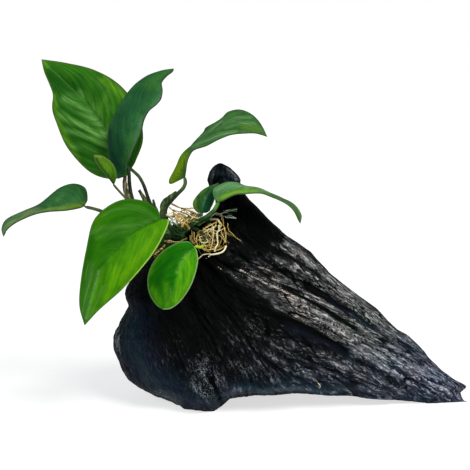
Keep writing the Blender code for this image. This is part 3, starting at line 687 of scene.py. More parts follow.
def wood_finish():
    """Black waterlogged wood: grey fibres, a painted bluish slate sheen, painted glints, a tan
    streak, darker patches, and painted shade in its cracks.
    """
    recipe = Recipe("black_wood", Metallic=0.0, Specular_IOR_Level=0.03)
    place = recipe.place()
    grain = recipe.add("ShaderNodeAttribute", {"attribute_name": "grain"}, {}, "Vector")
    warp = recipe.vector("SUBTRACT", recipe.mottle(grain, 1.5, 2.0, output=1), (0.5, 0.5, 0.5))
    grain = recipe.vector("ADD", grain, recipe.vector("MULTIPLY", warp, (0.35, 0.2, 0.35)))
    broad = grain_mottle(recipe, grain, 2.0, 7)
    thread = grain_mottle(recipe, grain, 4.0, 8)
    fibre = grain_mottle(recipe, grain, 9.5, 6)
    fine = grain_mottle(recipe, grain, 16.0, 5)
    speck = recipe.mottle(place, 1100, 2.0)
    cells = recipe.vector("MULTIPLY", grain, (3.5, 0.6, 3.5))
    fissure = recipe.add(
        "ShaderNodeTexVoronoi", {"feature": "DISTANCE_TO_EDGE"}, {"Vector": cells, "Scale": 1.0},
    )
    crack = recipe.value_of("crack")
    grey = recipe.value_of("grey")
    slate = recipe.value_of("slate")
    tan = recipe.value_of("tan")
    dark = recipe.value_of("dark")
    split = 1 - recipe.fade(fissure, 0.0, 0.12)
    worn = recipe.fade(grey * 0.8 + broad * 0.22 + thread * 0.3 + 0.08 - dark * 0.3, 0.25, 1.0)
    fleck = recipe.fade(fibre * 0.42 + fine * 0.33 + speck * 0.25, 0.38, 0.62)
    strand = recipe.fade(fibre * 0.60 + fine * 0.40, 0.50, 0.61)
    tone = 0.035 + worn * 0.475 + fleck * (0.06 + worn * 0.25) + strand * 0.28
    seam = thin_line(recipe, grain_mottle(recipe, grain, 2.6, 9), 0.045)
    thread_line = thin_line(recipe, grain_mottle(recipe, grain, 3.3, 11), 0.05)
    tone = (tone + thread_line * (0.03 + worn * 0.12)) * (1 - seam * 0.55)
    # Painted shade in the fissures, cracks and grooves, where the relief is cut too; darker patches
    # from the dark strokes
    torn = recipe.fade(crack + (fibre - 0.5) * 0.9, 0.34, 0.66)
    tone = tone * (1 - split * 0.25) * (1 - torn * 0.7) * (1 - dark * 0.88)
    colour = recipe.add("ShaderNodeValToRGB", {"stops": WOOD_RAMP}, {0: tone})
    tint = recipe.mottle(place, 55, 2.0)
    colour = recipe.mixed("MULTIPLY", recipe.fade(tint, 0.5, 0.7) * 0.7, colour, (0.80, 1.0, 0.80))
    colour = recipe.mixed("MULTIPLY", recipe.fade(tint, 0.5, 0.3) * 0.7, colour, (1.15, 0.98, 0.84))
    violet = recipe.fade(recipe.add("ShaderNodeSeparateXYZ", {}, {0: place}), 0.07, 0.12)
    colour = recipe.mixed("MULTIPLY", violet, colour, (0.95, 1.0, 1.20))
    # Painted bluish sheen low on the wood, over the worn fibres, and a cooler cast there
    low = recipe.fade(recipe.add("ShaderNodeSeparateXYZ", {}, {0: place}, "Z"), 0.050, 0.022)
    colour = recipe.mixed("ADD", low * (1 - torn * 0.6) * worn, colour, (0.0, 0.0025, 0.0080))
    colour = recipe.mixed("MULTIPLY", low, colour, (0.92, 0.99, 1.10))
    # Painted bluish slate sheen where its strokes lie, brighter on flecks and worn fibres
    calm = slate * (0.9 - strand * 0.3) * (1 - torn * 0.6)
    slate_sheen_colour = recipe.blend(
        recipe.fade(tint, 0.35, 0.65), (0.0090, 0.0140, 0.0320), (0.0050, 0.0180, 0.0270),
    )
    lit = 0.46 + fleck * 0.7 + worn * 0.7
    slate_sheen_colour = recipe.mixed("MULTIPLY", 1.0, slate_sheen_colour, recipe.join(lit, lit, lit))
    colour = recipe.blend(calm, colour, slate_sheen_colour)
    # Painted glints: light grey specks along a web of thin lines where the glint strokes lie
    wrinkle = thin_line(recipe, recipe.mottle(place, 620, 1.0), 0.10)
    spark = recipe.value_of("glint") * wrinkle * recipe.fade(speck * 0.5 + fine * 0.5, 0.42, 0.58)
    colour = recipe.blend(spark * (1 - torn) * 0.9, colour, (0.22, 0.24, 0.26))
    streak = recipe.fade(tan + (speck - 0.5) * 1.6 + (fibre - 0.5) * 0.8, 0.60, 1.0)
    colour = recipe.blend(streak, colour, (0.50, 0.42, 0.36))
    rough = 0.75 - slate * 0.25 - fleck * 0.1
    height = fibre * 0.45 + fine * 0.35 + speck * 0.25 - split * 0.2 - crack * 0.3
    normal = recipe.bump(height, 1.1 * MM, 1.0)
    return recipe.finish(Base_Color=colour, Roughness=rough, Normal=normal)


def thin_line(recipe, noise_value, width):
    """Thin wandering lines where soft noise passes its middle."""
    rising = recipe.fade(noise_value, 0.5 - width, 0.5)
    return rising * recipe.fade(noise_value, 0.5 + width, 0.5)


def grain_mottle(recipe, grain, pitch, stretch):
    """Noise drawn out along the grain, with this many changes in a cm across it."""
    place = recipe.vector("MULTIPLY", grain, (pitch, pitch / stretch, pitch))
    return recipe.mottle(place, 1.0, 2.5, 0.6)


# Wood from the black of a crack's painted shade to a worn fibre
WOOD_RAMP = [
    (0.0, (0.0008, 0.0010, 0.0010)), (0.16, (0.0030, 0.0034, 0.0034)),
    (0.34, (0.016, 0.017, 0.018)), (0.55, (0.075, 0.076, 0.078)), (0.75, (0.19, 0.188, 0.185)),
    (1.0, (0.42, 0.41, 0.40)),
]


# Blades: each is (base, tip, midrib, left rim, right rim), left as seen from base to tip with the
# upper face towards you. Points are across, down, and the depth in mm.
BLADES = {
    "upper_left": (
        (131.5, 168.5, 5), (41.5, 59.4, 18),
        [(121, 152, 7), (106, 130, 9), (88, 105, 12), (63, 80, 16)],
        [(126, 176, 5), (108, 178.6, 6), (88, 170.4, 8), (67.1, 147, 8), (56, 121.5, 10),
         (52.2, 108.4, 11), (52.9, 95, 13), (49.8, 85, 15), (44.4, 72, 17)],
        [(136, 160, 3), (143, 138, 3), (137, 108, 5), (119, 84.5, 9), (94, 70, 14),
         (66, 63, 17)],
    ),
    "upright": (
        (126.5, 168, -3), (173.7, 68.5, 4),
        [(127, 152, -6), (130, 134, -8), (137, 117, -8), (147, 98, -5), (159, 82, 0)],
        [(122.5, 176, -4), (116, 177, -5), (108.5, 156, -4), (107.8, 134, -3), (112, 119, -2),
         (128, 92, 0), (144, 77.5, 2), (160, 71, 4)],
        [(128, 163, -4), (134, 148.5, -7), (141.3, 132, -9), (144.2, 120.5, -9),
         (149, 111.3, -9), (156.5, 104.8, -8), (161.2, 98.8, -6), (162.6, 90, -4),
         (161.8, 82.6, -2), (166.5, 76.5, 1), (172.6, 71.8, 3)],
    ),
    "young": (
        (113.8, 184.5, -12), (94, 154.5, -15),
        [(110.4, 178.5, -15), (105, 170, -16.5), (99.4, 162, -16)],
        [(112.6, 182.6, -12), (107.6, 176.6, -13), (102, 170.2, -14), (97, 163.6, -14.5),
         (94.4, 158.4, -14.8)],
        [(115.2, 181, -11), (116.4, 174.5, -12), (114.6, 167, -13), (109, 160, -14),
         (101.5, 155.6, -15)],
    ),
    "front_large": (
        (161, 221, -31), (84.5, 325.4, -60),
        [(146, 226, -36), (127, 240, -44), (108.5, 260, -51), (98.5, 277, -56), (90, 304, -60)],
        [(168.5, 220.5, -31), (166, 230, -35), (156, 249, -42), (141.6, 268, -48),
         (122, 289.5, -53), (100, 309, -58)],
        [(158, 211, -28), (145, 201.5, -27), (125, 199.3, -29), (107, 207, -34), (93, 222, -40),
         (86.5, 248, -47), (81, 280, -54), (79.5, 305, -58)],
    ),
    "front_oval": (
        (194.5, 246.5, -33), (163, 309.5, -43),
        [(186.5, 256, -37.5), (180.5, 268, -41), (176, 283, -43.5), (170.5, 297, -44)],
        [(197, 252, -34), (197.6, 264, -37), (191.6, 284, -40), (181, 300.5, -42),
         (171, 308.3, -43)],
        [(187, 241.3, -33), (173, 244.5, -34), (158, 255.5, -36), (148.5, 273, -38),
         (148.5, 291, -40), (155.5, 304, -42)],
    ),
    "far_left": (
        (84.5, 206, -6), (3.2, 236.7, -10),
        [(76, 204.3, -9), (62, 207, -12), (45, 209.5, -13), (24, 216, -13), (9, 225.5, -12)],
        [(80, 208, -11), (66, 210.5, -17), (48, 211.8, -18), (33, 215, -16), (16, 222.8, -14),
         (6.5, 230.5, -12)],
        [(87.5, 199, -3), (85, 187.8, 1), (73, 183.8, 4), (58, 189, 4), (42, 203, 0),
         (24, 210.8, -5), (7, 219, -8), (1.8, 228, -10)],
    ),
    "arching_up": (
        (184.8, 177.5, -9), (267.4, 136.8, -17),
        [(185.2, 165, -10), (188.9, 152.6, -12), (199, 141.8, -13), (216, 129.5, -14),
         (233, 122.5, -15), (250, 122.5, -16), (260.5, 129, -17)],
        [(179, 180.5, -7), (170.5, 184, -5), (169.4, 179, -4.5), (176.3, 166.5, -4),
         (180, 157.6, -4), (187, 151.7, -3), (193, 144.2, -3), (203.2, 132.5, -2),
         (206, 127.8, -2), (216, 122.1, -2), (222.3, 117.6, -2), (228.5, 111.8, -3),
         (240, 109.8, -5), (251, 114, -9), (260, 123, -14)],
        [(185.6, 173, -11), (187.2, 162, -16), (190.5, 154, -20), (195, 149.6, -21.5),
         (206, 146, -24), (216, 140.8, -25), (223.5, 137.4, -25), (232, 134.6, -24),
         (245, 133.4, -23), (256, 133.5, -20)],
    ),
    "low_right": (
        (218, 202.5, -21), (300.4, 223.6, -27),
        [(221.5, 195.5, -23), (232, 190.5, -24.5), (247, 189.8, -25), (263, 192.2, -25),
         (272, 195.6, -25), (281, 199.4, -26), (293, 209, -26.5)],
        [(214, 197, -20), (213.6, 188.5, -20), (226, 182.3, -19.5), (237, 182.6, -18.5),
         (244, 185.8, -17.5), (256, 187.5, -16.5), (264, 190.9, -17), (272, 194.5, -18),
         (281, 198.2, -19), (289, 201.1, -21), (296, 206.2, -23), (301.4, 215, -26)],
        [(222.5, 201, -25), (231, 196.6, -27), (237, 194.4, -28), (244, 194, -29.5),
         (256, 193.2, -31), (263, 193.8, -31), (271, 196.8, -30.5), (280, 200.5, -30),
         (287, 204.4, -29.5), (292.4, 209.1, -29), (297.5, 216.8, -28)],
    ),
    "small_dark": (
        (202, 213, -17), (218.8, 182.8, -16),
        [(203, 205, -18), (206.5, 196.5, -18), (212, 188.5, -17)],
        [(197.5, 212.4, -16), (193.2, 206.5, -15.5), (194.4, 199.5, -15), (204, 189, -15.5)],
        [(208, 211.8, -16), (212.6, 204.5, -16), (215.2, 196.5, -15.5), (217.4, 188.5, -15.5)],
    ),
}
BLADE_CAMBER = 0.07
BLADE_THICKNESS = 0.0009
BLADE_RIM = 0.0005
BLADE_ROWS = 130
BLADE_HALF_COLUMNS = 34
VEIN_CURVE = 1.3
MIDRIB_WIDTH = 0.7 * MM
VEINLESS_MARGIN = 2.5 * MM
RIM_BULGE = 0.12 * MM
RIM_CROWDING = 1.3

# Looks of the blades: the greens of the left and right half, which also paint the light and shade
# that fall unevenly on the two halves; pale patches of painted sheen, deep patches partly of painted
# shade and warm patches partly of painted glow of light through the blade; rim, partly painted rim
# light, and edge; the number of side veins and how far they sweep; the swelling between them and the
# depth of the midrib in mm; how strongly the veins' painted shade and the bands of painted sheen
# show; the sheen. Two blades have a painted rim light on their left edge, with how far along it
# reaches. Patches are soft strokes on the grid: (half width, strength, points).
LEAVES = {
    "upper_left": dict(
        left=(0.019, 0.102, 0.006), right=(0.023, 0.118, 0.006), pale=(0.088, 0.245, 0.045),
        deep=(0.004, 0.050, 0.002), warm=(0.080, 0.230, 0.009), rim=(0.045, 0.140, 0.009),
        edge=(0.035, 0.035, 0.012), veins=9, sweep=0.60, swell=0.30, lines=0.25, sheen_bands=0.50, rib=0.30,
        sheen=0.025,
        pale_strokes=[
            (4, 0.9, [(65, 99), (78, 106), (90, 115), (102, 128), (107, 138)]),
            (3, 0.9, [(60, 115), (72, 122), (86, 127), (104, 141)]),
            (2.5, 0.8, [(66, 130), (80, 134), (94, 139), (106, 146)]),
            (2.2, 0.6, [(72, 146), (84, 147), (96, 152)]),
            (3, 0.5, [(80, 92), (92, 104), (100, 116)]),
            (2, 0.4, [(98, 80), (106, 94), (109, 110)]),
        ],
        deep_strokes=[
            (8, 1.0, [(50, 76), (64, 84), (80, 88)]),
            (1.2, 0.9, [(88, 104), (98, 117), (107, 136)]),
            (4, 0.8, [(66, 106), (78, 112), (92, 120)]),
            (5, 0.7, [(54, 88), (62, 96), (70, 100)]),
            (3, 0.9, [(60, 108), (72, 115), (84, 120)]),
            (3, 1.0, [(62, 122), (76, 129), (90, 134)]),
            (3.5, 1.0, [(70, 136), (84, 140), (104, 150)]),
            (4, 0.8, [(80, 152), (92, 157), (106, 160)]),
            (9, 0.9, [(140, 134), (137, 152), (132, 166)]),
            (2.5, 0.5, [(96, 72), (112, 84)]),
        ],
        warm_strokes=[
            (3, 0.55, [(54, 96), (57, 118), (66, 138), (78, 158)]),
            (4, 0.7, [(104, 80), (116, 90), (124, 97)]),
            (2.5, 0.8, [(42, 60), (47, 66)]),
            (2.5, 0.3, [(100, 112), (106, 96)]),
        ],
    ),
    "upright": dict(
        left=(0.018, 0.098, 0.025), right=(0.027, 0.125, 0.032), pale=(0.100, 0.220, 0.110),
        deep=(0.0010, 0.018, 0.009), warm=(0.030, 0.120, 0.012), rim=(0.030, 0.080, 0.028),
        edge=(0.030, 0.032, 0.020), veins=7, sweep=0.75, swell=0.12, lines=0.05, sheen_bands=0.18, rib=0.0,
        sheen=0.03,
        pale_strokes=[
            (1.1, 1.1, [(126.4, 170), (129, 159), (133.8, 147), (140.4, 133)]),
            (1.6, 0.4, [(150, 110), (158, 101), (161, 96)]),
            (1.2, 0.3, [(140, 124), (150, 108), (160, 95)]),
            (2.5, 0.5, [(136, 140), (139, 130), (142, 118)]),
        ],
        deep_strokes=[
            (9, 1.0, [(109, 134), (112, 152), (119, 168)]),
            (6, 0.5, [(118, 114), (117, 128)]),
            (6, 0.9, [(117, 136), (119, 148), (122, 160)]),
            (4, 0.4, [(120, 106), (126, 118)]),
        ],
        warm_strokes=[
            (6, 0.7, [(168, 72), (158, 79), (150, 86)]),
            (5, 0.5, [(134, 134), (130, 150), (127, 160)]),
        ],
    ),
    "young": dict(
        left=(0.026, 0.100, 0.006), right=(0.050, 0.155, 0.006), pale=(0.180, 0.300, 0.060),
        deep=(0.008, 0.030, 0.003), warm=(0.095, 0.200, 0.010), rim=(0.110, 0.220, 0.030),
        edge=(0.090, 0.120, 0.030), veins=6, sweep=0.5, swell=0.10, lines=0.15, sheen_bands=0.25, rib=0.0,
        sheen=0.025,
        pale_strokes=[(1.0, 0.8, [(94, 156), (100, 157)]), (1.2, 0.5, [(98, 166), (104, 175)])],
        deep_strokes=[(0.9, 1.0, [(96, 158), (103, 169), (109, 177), (113, 183)]),
                      (2.5, 0.5, [(112, 176), (115, 182)])],
        warm_strokes=[(3, 0.7, [(101, 160), (108, 168)])],
    ),
    "front_large": dict(
        left=(0.048, 0.200, 0.002), right=(0.020, 0.120, 0.002), pale=(0.105, 0.230, 0.055),
        deep=(0.0070, 0.065, 0.0012), warm=(0.095, 0.265, 0.003), rim=(0.060, 0.160, 0.020),
        edge=(0.020, 0.040, 0.010), veins=9, sweep=0.65, swell=0.12, lines=0.03, sheen_bands=0.15, rib=0.05,
        sheen=0.012, left_rim_light=((0.300, 0.520, 0.070), 0.72),
        pale_strokes=[
            (2.6, 0.32, [(93, 232), (104, 228), (122, 226), (140, 225), (150, 221)]),
            (0.9, 0.35, [(96, 231), (108, 227.5), (124, 227), (138, 226)]),
            (2.2, 0.22, [(96, 238), (110, 234), (130, 231)]),
            (2.0, 0.25, [(104, 216), (110, 211.5), (117, 208.5), (124, 207), (131, 206.5),
                         (138, 208), (145, 211), (151, 215), (157, 220)]),
            (0.8, 0.25, [(112, 213), (120, 210), (128, 209), (136, 210), (144, 213.5)]),
            (1.4, 0.8, [(99, 272), (92, 296), (86, 318)]),
            (1.3, 0.7, [(92, 272), (86, 296), (83, 312)]),
            (1.2, 0.6, [(103, 286), (96, 304), (88, 318)]),
            (1.2, 0.4, [(88, 262), (86, 280)]),
            (4, 0.3, [(92, 266), (87, 292), (84, 316)]),
        ],
        deep_strokes=[
            (0.8, 0.9, [(158, 221), (144, 227), (132, 234), (120, 247), (107, 260), (98, 268)]),
            (4, 0.8, [(92, 238), (90, 254), (87, 268)]),
            (4, 0.4, [(90, 262), (86, 284), (83, 306)]),
            (4, 0.7, [(106, 264), (103, 282), (97, 304)]),
            (4, 0.4, [(134, 236), (122, 250), (112, 262)]),
            (3, 0.6, [(112, 222), (126, 216), (140, 214)]),
            (4, 0.5, [(104, 246), (116, 240), (126, 236)]),
            (3.5, 0.5, [(100, 212), (112, 203), (128, 201), (146, 203), (156, 212)]),
            (3, 0.4, [(100, 256), (108, 250)]),
        ],
        warm_strokes=[
            (3, 0.5, [(117, 268), (112, 284), (106, 298)]),
            (4, 0.7, [(156, 232), (146, 248), (134, 262), (122, 278)]),
            (3, 0.15, [(96, 226), (104, 214)]),
        ],
    ),
    "front_oval": dict(
        left=(0.042, 0.225, 0.003), right=(0.010, 0.120, 0.002), pale=(0.110, 0.290, 0.040),
        deep=(0.0030, 0.062, 0.0015), warm=(0.105, 0.310, 0.005), rim=(0.120, 0.280, 0.060),
        edge=(0.085, 0.170, 0.065), veins=6, sweep=0.6, swell=0.12, lines=0.05, sheen_bands=0.25, rib=0.12,
        sheen=0.015, left_rim_light=((0.220, 0.370, 0.110), 1.2),
        pale_strokes=[
            (1.6, 0.5, [(190, 252), (182, 260), (177, 272)]),
            (1.0, 0.4, [(171, 288), (170, 298)]),
        ],
        deep_strokes=[
            (4.5, 0.9, [(172, 258), (162, 270), (157, 284)]),
            (3, 0.6, [(184, 250), (176, 256)]),
            (2.5, 0.4, [(184, 272), (181, 290)]),
            (3.5, 0.5, [(176, 258), (173, 274), (171, 288)]),
        ],
        warm_strokes=[
            (1.6, 0.4, [(181, 264), (180, 278), (178, 294)]),
            (4, 0.4, [(153, 290), (160, 303)]),
            (3, 0.35, [(166, 284), (167, 304)]),
            (2.0, 0.7, [(186, 256), (190, 268), (187, 284)]),
            (4, 0.6, [(182, 288), (176, 300)]),
            (2.5, 0.3, [(163, 252), (154, 262), (150, 274)]),
        ],
    ),
    "far_left": dict(
        left=(0.095, 0.210, 0.016), right=(0.020, 0.100, 0.022), pale=(0.130, 0.200, 0.085),
        deep=(0.010, 0.050, 0.012), warm=(0.110, 0.190, 0.012), rim=(0.040, 0.085, 0.030),
        edge=(0.025, 0.032, 0.020), veins=7, sweep=0.6, swell=0.16, lines=0.12, sheen_bands=0.25, rib=0.15,
        sheen=0.05,
        pale_strokes=[
            (5, 0.9, [(36, 210), (22, 216), (10, 225), (4, 232)]),
            (1.2, 0.5, [(66, 207), (54, 209), (44, 210)]),
            (2, 0.3, [(62, 196), (56, 202)]),
        ],
        deep_strokes=[
            (1.6, 0.8, [(86, 196), (80, 186), (68, 184), (56, 190), (44, 202), (34, 209)]),
            (1.0, 0.7, [(36, 212), (22, 217), (14, 222)]),
            (1.2, 0.6, [(30, 217), (14, 227), (6, 233)]),
            (1.0, 0.6, [(82, 203), (66, 207)]),
            (3, 0.4, [(74, 194), (66, 198)]),
        ],
        warm_strokes=[(1.6, 0.8, [(84, 203), (74, 206), (66, 208.5)])],
    ),
    "arching_up": dict(
        left=(0.032, 0.120, 0.022), right=(0.038, 0.138, 0.026), pale=(0.125, 0.270, 0.105),
        deep=(0.010, 0.048, 0.008), warm=(0.100, 0.200, 0.002), rim=(0.045, 0.125, 0.032),
        edge=(0.030, 0.034, 0.020), veins=8, sweep=0.7, swell=0.25, lines=0.2, sheen_bands=0.40, rib=0.20,
        sheen=0.05,
        pale_strokes=[
            (1.6, 0.7, [(192, 147), (206, 141), (222, 134), (236, 132)]),
            (1.5, 0.6, [(224, 124), (236, 118), (250, 118)]),
            (1.5, 0.5, [(226, 129), (240, 124), (254, 124)]),
            (1.2, 0.5, [(200, 138), (212, 130), (222, 122)]),
        ],
        deep_strokes=[
            (1.4, 0.8, [(204, 130), (210, 125), (218, 121)]),
            (1.4, 0.7, [(222, 117), (228, 112), (240, 110)]),
            (1.4, 0.6, [(216, 128), (230, 120), (244, 114)]),
            (1.2, 0.7, [(185.5, 160), (184.5, 170), (183.5, 177)]),
            (2.0, 0.8, [(222, 132), (236, 128)]),
            (1.2, 0.8, [(198, 141), (190, 149), (187, 153)]),
            (1.6, 0.8, [(254, 116), (262, 126), (266, 134)]),
            (1.3, 0.6, [(200, 144), (214, 137), (226, 131), (240, 129)]),
        ],
        warm_strokes=[
            (7, 1.3, [(184, 158), (178, 168), (172, 180)]),
            (4, 0.35, [(244, 126), (258, 130)]),
        ],
    ),
    "low_right": dict(
        left=(0.070, 0.200, 0.065), right=(0.090, 0.230, 0.022), pale=(0.160, 0.320, 0.130),
        deep=(0.030, 0.080, 0.018), warm=(0.130, 0.340, 0.014), rim=(0.100, 0.200, 0.060),
        edge=(0.030, 0.045, 0.018), veins=8, sweep=0.6, swell=0.18, lines=0.12, sheen_bands=0.35, rib=0.10,
        sheen=0.05,
        pale_strokes=[
            (2.0, 0.6, [(216, 190), (228, 185), (240, 186)]),
            (1.0, 0.7, [(244, 187), (256, 188), (270, 194)]),
        ],
        deep_strokes=[
            (5, 1.0, [(266, 194), (286, 202), (298, 216)]),
            (1.5, 1.0, [(240, 184), (252, 187), (268, 192)]),
            (1.5, 0.4, [(222, 196), (232, 191), (244, 189)]),
        ],
        warm_strokes=[
            (1.8, 1.0, [(219, 199), (226, 196), (236, 193), (246, 192)]),
            (1.2, 0.6, [(246, 192), (256, 191.5)]),
        ],
    ),
    "small_dark": dict(
        left=(0.020, 0.085, 0.014), right=(0.0045, 0.052, 0.018), pale=(0.080, 0.190, 0.080),
        deep=(0.002, 0.022, 0.008), warm=(0.110, 0.220, 0.012), rim=(0.060, 0.150, 0.030),
        edge=(0.035, 0.080, 0.020), veins=6, sweep=0.6, swell=0.14, lines=0.1, sheen_bands=0.25, rib=0.15,
        sheen=0.03,
        pale_strokes=[(0.9, 0.5, [(206, 196), (203, 206)]), (1.0, 0.4, [(214, 186), (217, 183)])],
        deep_strokes=[(2.5, 0.7, [(209, 190), (207, 204)])],
        warm_strokes=[(2.2, 0.9, [(195, 200), (194, 208), (198, 213)]),
                      (1.5, 0.4, [(200, 194), (206, 189)])],
    ),
}
UNDERSIDE_GREEN = (0.070, 0.150, 0.045)


def blade_relief(along, across, rib, rim, look):
    """How far the upper face stands out: a sunk midrib, and swellings between sunk veins."""
    phase = (along - look["sweep"] * abs(across) ** VEIN_CURVE) * look["veins"]
    pillow = abs(math.sin(math.pi * phase)) ** 0.6
    inner = min(1.0, rib / VEINLESS_MARGIN) * min(1.0, rim / VEINLESS_MARGIN)
    ends = min(1.0, along / 0.08) * min(1.0, (1 - along) / 0.08)
    groove = math.exp(-((rib / MIDRIB_WIDTH) ** 2)) * (1 - 0.6 * along)
    return (look["swell"] * (pillow - 0.6) * inner * ends - look["rib"] * groove) * MM


def build_blade(name, rails, look):
    """One leaf blade: a thin closed sheet with veins on both faces."""
    base, tip = grid_points(rails[:2])
    left, middle, right = (
        smooth_path([base, *grid_points(rail), tip], BLADE_ROWS)
        for rail in (rails[3], rails[2], rails[4])
    )
    wide = 2 * BLADE_HALF_COLUMNS + 1
    upper, lower = [], []
    values = {key: [] for key in ("side", "along", "rib", "rim", "pale", "deep", "warm")}
    for row in range(1, BLADE_ROWS):
        along = row / BLADE_ROWS
        run = middle[row + 1] - middle[row - 1]
        for column in range(wide):
            share = (column - BLADE_HALF_COLUMNS) / BLADE_HALF_COLUMNS
            share = math.copysign(1 - (1 - abs(share)) ** RIM_CROWDING, share)
            half = (left if share < 0 else right)[row] - middle[row]
            face = half.cross(run) if share > 0 else run.cross(half)
            if column == BLADE_HALF_COLUMNS:
                face = (right[row] - left[row]).cross(run)
            face.normalize()
            size = abs(share)
            point = middle[row] + half * size
            point += face * BLADE_CAMBER * half.length * 4 * size * (1 - size)
            rib = half.length * size
            rim = half.length * (1 - size)
            relief = blade_relief(along, share, rib, rim, look)
            ends = min(1.0, row / 6, (BLADE_ROWS - row) / 6)
            thick = (BLADE_RIM + (BLADE_THICKNESS - BLADE_RIM) * (1 - size)) / 2 * (0.35 + 0.65 * ends)
            upper.append(point + face * (thick + relief))
            lower.append(point - face * (thick - relief * 0.8))
            values["side"].append(share)
            values["along"].append(along)
            values["rib"].append(rib / MM)
            values["rim"].append(rim / MM)
            seen = on_grid(point)
            for patch in ("pale", "deep", "warm"):
                values[patch].append(stroke_at(look[patch + "_strokes"], *seen))
    points = upper + lower
    under = len(upper)
    labels = {key: numbers + numbers for key, numbers in values.items()}
    labels["under"] = [0.0] * under + [1.0] * under
    rows = BLADE_ROWS - 1
    faces = []
    for row in range(rows - 1):
        for column in range(wide - 1):
            low = row * wide + column
            quad = (low, low + 1, low + wide + 1, low + wide)
            faces.append(quad)
            faces.append(tuple(under + index for index in reversed(quad)))
    rim_line = {}
    for column, rail in ((0, left), (wide - 1, right)):
        for row in range(rows):
            index = row * wide + column
            out = (rail[row + 1] - middle[row + 1]).normalized()
            rim_line[index] = len(points)
            points.append((points[index] + points[under + index]) / 2 + out * RIM_BULGE)
            for key, numbers in values.items():
                labels[key].append(numbers[index])
            labels["under"].append(0.5)
        for row in range(rows - 1):
            low = row * wide + column
            high = low + wide
            strip = [
                (low, high, rim_line[high], rim_line[low]),
                (rim_line[low], rim_line[high], under + high, under + low),
            ]
            faces += strip if column == 0 else [tuple(reversed(face)) for face in strip]
    for end, first, along in ((base, 0, 0.0), (tip, (rows - 1) * wide, 1.0)):
        index = len(points)
        points.append(end)
        for key, numbers in labels.items():
            numbers.append({"along": along, "under": 0.5}.get(key, 0.0))
        loop = list(range(first, first + wide)) + [rim_line[first + wide - 1]]
        loop += [under + column for column in reversed(range(first, first + wide))]
        loop.append(rim_line[first])
        fan = [(start, far, index) for start, far in zip(loop, loop[1:] + loop[:1])]
        faces += [tuple(reversed(face)) for face in fan] if first == 0 else fan
    add_piece(
        f"blade_{name}", points, faces, blade_finish(name, look), f"{name}_green",
        [f"leaf_{name}"], **labels,
    )


def blade_finish(name, look):
    """A living leaf: two halves, soft patches, streaks along the side veins, midrib and rim, with
    painted light and shade on the halves, painted sheen and glow, and painted rim light.
    """
    recipe = Recipe(f"{name}_green", Metallic=0.0, Specular_IOR_Level=look["sheen"])
    side = recipe.value_of("side")
    along = recipe.value_of("along")
    rib = recipe.value_of("rib")
    rim = recipe.value_of("rim")
    under = recipe.value_of("under")
    place = recipe.place()
    soft = recipe.mottle(place, 75, 4.0)
    grain = recipe.mottle(place, 1100, 2.0)
    wobble = (soft - 0.5) * 0.06
    reach = abs(side)
    phase = (along - reach ** VEIN_CURVE * look["sweep"] + wobble) * look["veins"]
    pillow = abs((phase * math.pi).maths("SINE"))
    streak = recipe.mottle(recipe.join(phase * 2.2, reach * 1.6, side), 1.0, 4.0, 0.6)
    hair = recipe.mottle(recipe.join(phase * 7.0, reach * 2.5, side), 1.0, 3.0, 0.6)
    # The two halves in two greens: painted light and shade, which fall unevenly on the two halves
    half = recipe.fade(side + (soft - 0.5) * 0.3, -0.09, 0.09)
    colour = recipe.blend(half, look["left"], look["right"])
    colour = recipe.blend(recipe.fade(soft, 0.42, 0.66) * 0.45, colour, look["deep"])
    # Deep patches of darker green, partly painted shade
    colour = recipe.blend(recipe.value_of("deep") * 0.8, colour, look["deep"])
    # Warm yellow-green patches, partly painted glow of light through the blade
    colour = recipe.blend(recipe.value_of("warm") * 0.85, colour, look["warm"])
    # Pale patches of painted sheen, along streaks
    lit = recipe.fade(streak * 0.7 + hair * 0.3, 0.40, 0.62)
    colour = recipe.blend(recipe.value_of("pale") * (0.35 + lit * 0.55), colour, look["pale"])
    # Painted sheen on the swellings between the veins
    crest_sheen = lit * recipe.fade(pillow, 0.2, 0.9) * look["sheen_bands"]
    colour = recipe.mixed("MULTIPLY", crest_sheen, colour, (2.2, 1.75, 2.4))
    # Darker in the sunk veins: painted shade
    colour = recipe.blend((1 - recipe.fade(pillow, 0.0, 0.4)) * look["lines"], colour, look["deep"])
    colour = recipe.blend((1 - recipe.fade(rib, 0.15, 0.7)) * look["rib"], colour, look["pale"])
    # A band along the rim in a green of its own, partly painted rim light
    colour = recipe.blend((1 - recipe.fade(rim, 0.5, 1.4)) * 0.5, colour, look["rim"])
    colour = recipe.blend((1 - recipe.fade(rim, 0.15, 0.5)) * 0.85, colour, look["edge"])
    # Painted rim light along the left edge of two blades
    if "left_rim_light" in look:
        rim_light_colour, reach_along = look["left_rim_light"]
        rim_light = (1 - half) * (1 - recipe.fade(rim, 0.35, 0.85)) * (1 - under)
        rim_light = rim_light * recipe.fade(along, reach_along, reach_along - 0.2)
        colour = recipe.blend(rim_light * 0.85, colour, rim_light_colour)
    colour = recipe.blend(recipe.fade(grain, 0.40, 0.70) * 0.12, colour, look["deep"])
    thread = recipe.mottle(recipe.join(phase * 16.0, reach * 6.0, side), 1.0, 3.0, 0.65)
    colour = recipe.blend(recipe.fade(thread, 0.50, 0.68) * 0.40, colour, look["deep"])
    colour = recipe.mixed("MULTIPLY", recipe.fade(thread, 0.50, 0.34) * 0.6, colour, (1.6, 1.35, 1.6))
    colour = recipe.blend(under * 0.7, colour, UNDERSIDE_GREEN)
    rough = 0.40 + soft * 0.12 + under * 0.2
    height = pillow ** 0.5 * 0.25 + hair * 0.25 + grain * 0.08
    normal = recipe.bump(height, 0.35 * MM, 0.7)
    return recipe.finish(Base_Color=colour, Roughness=rough, Normal=normal)


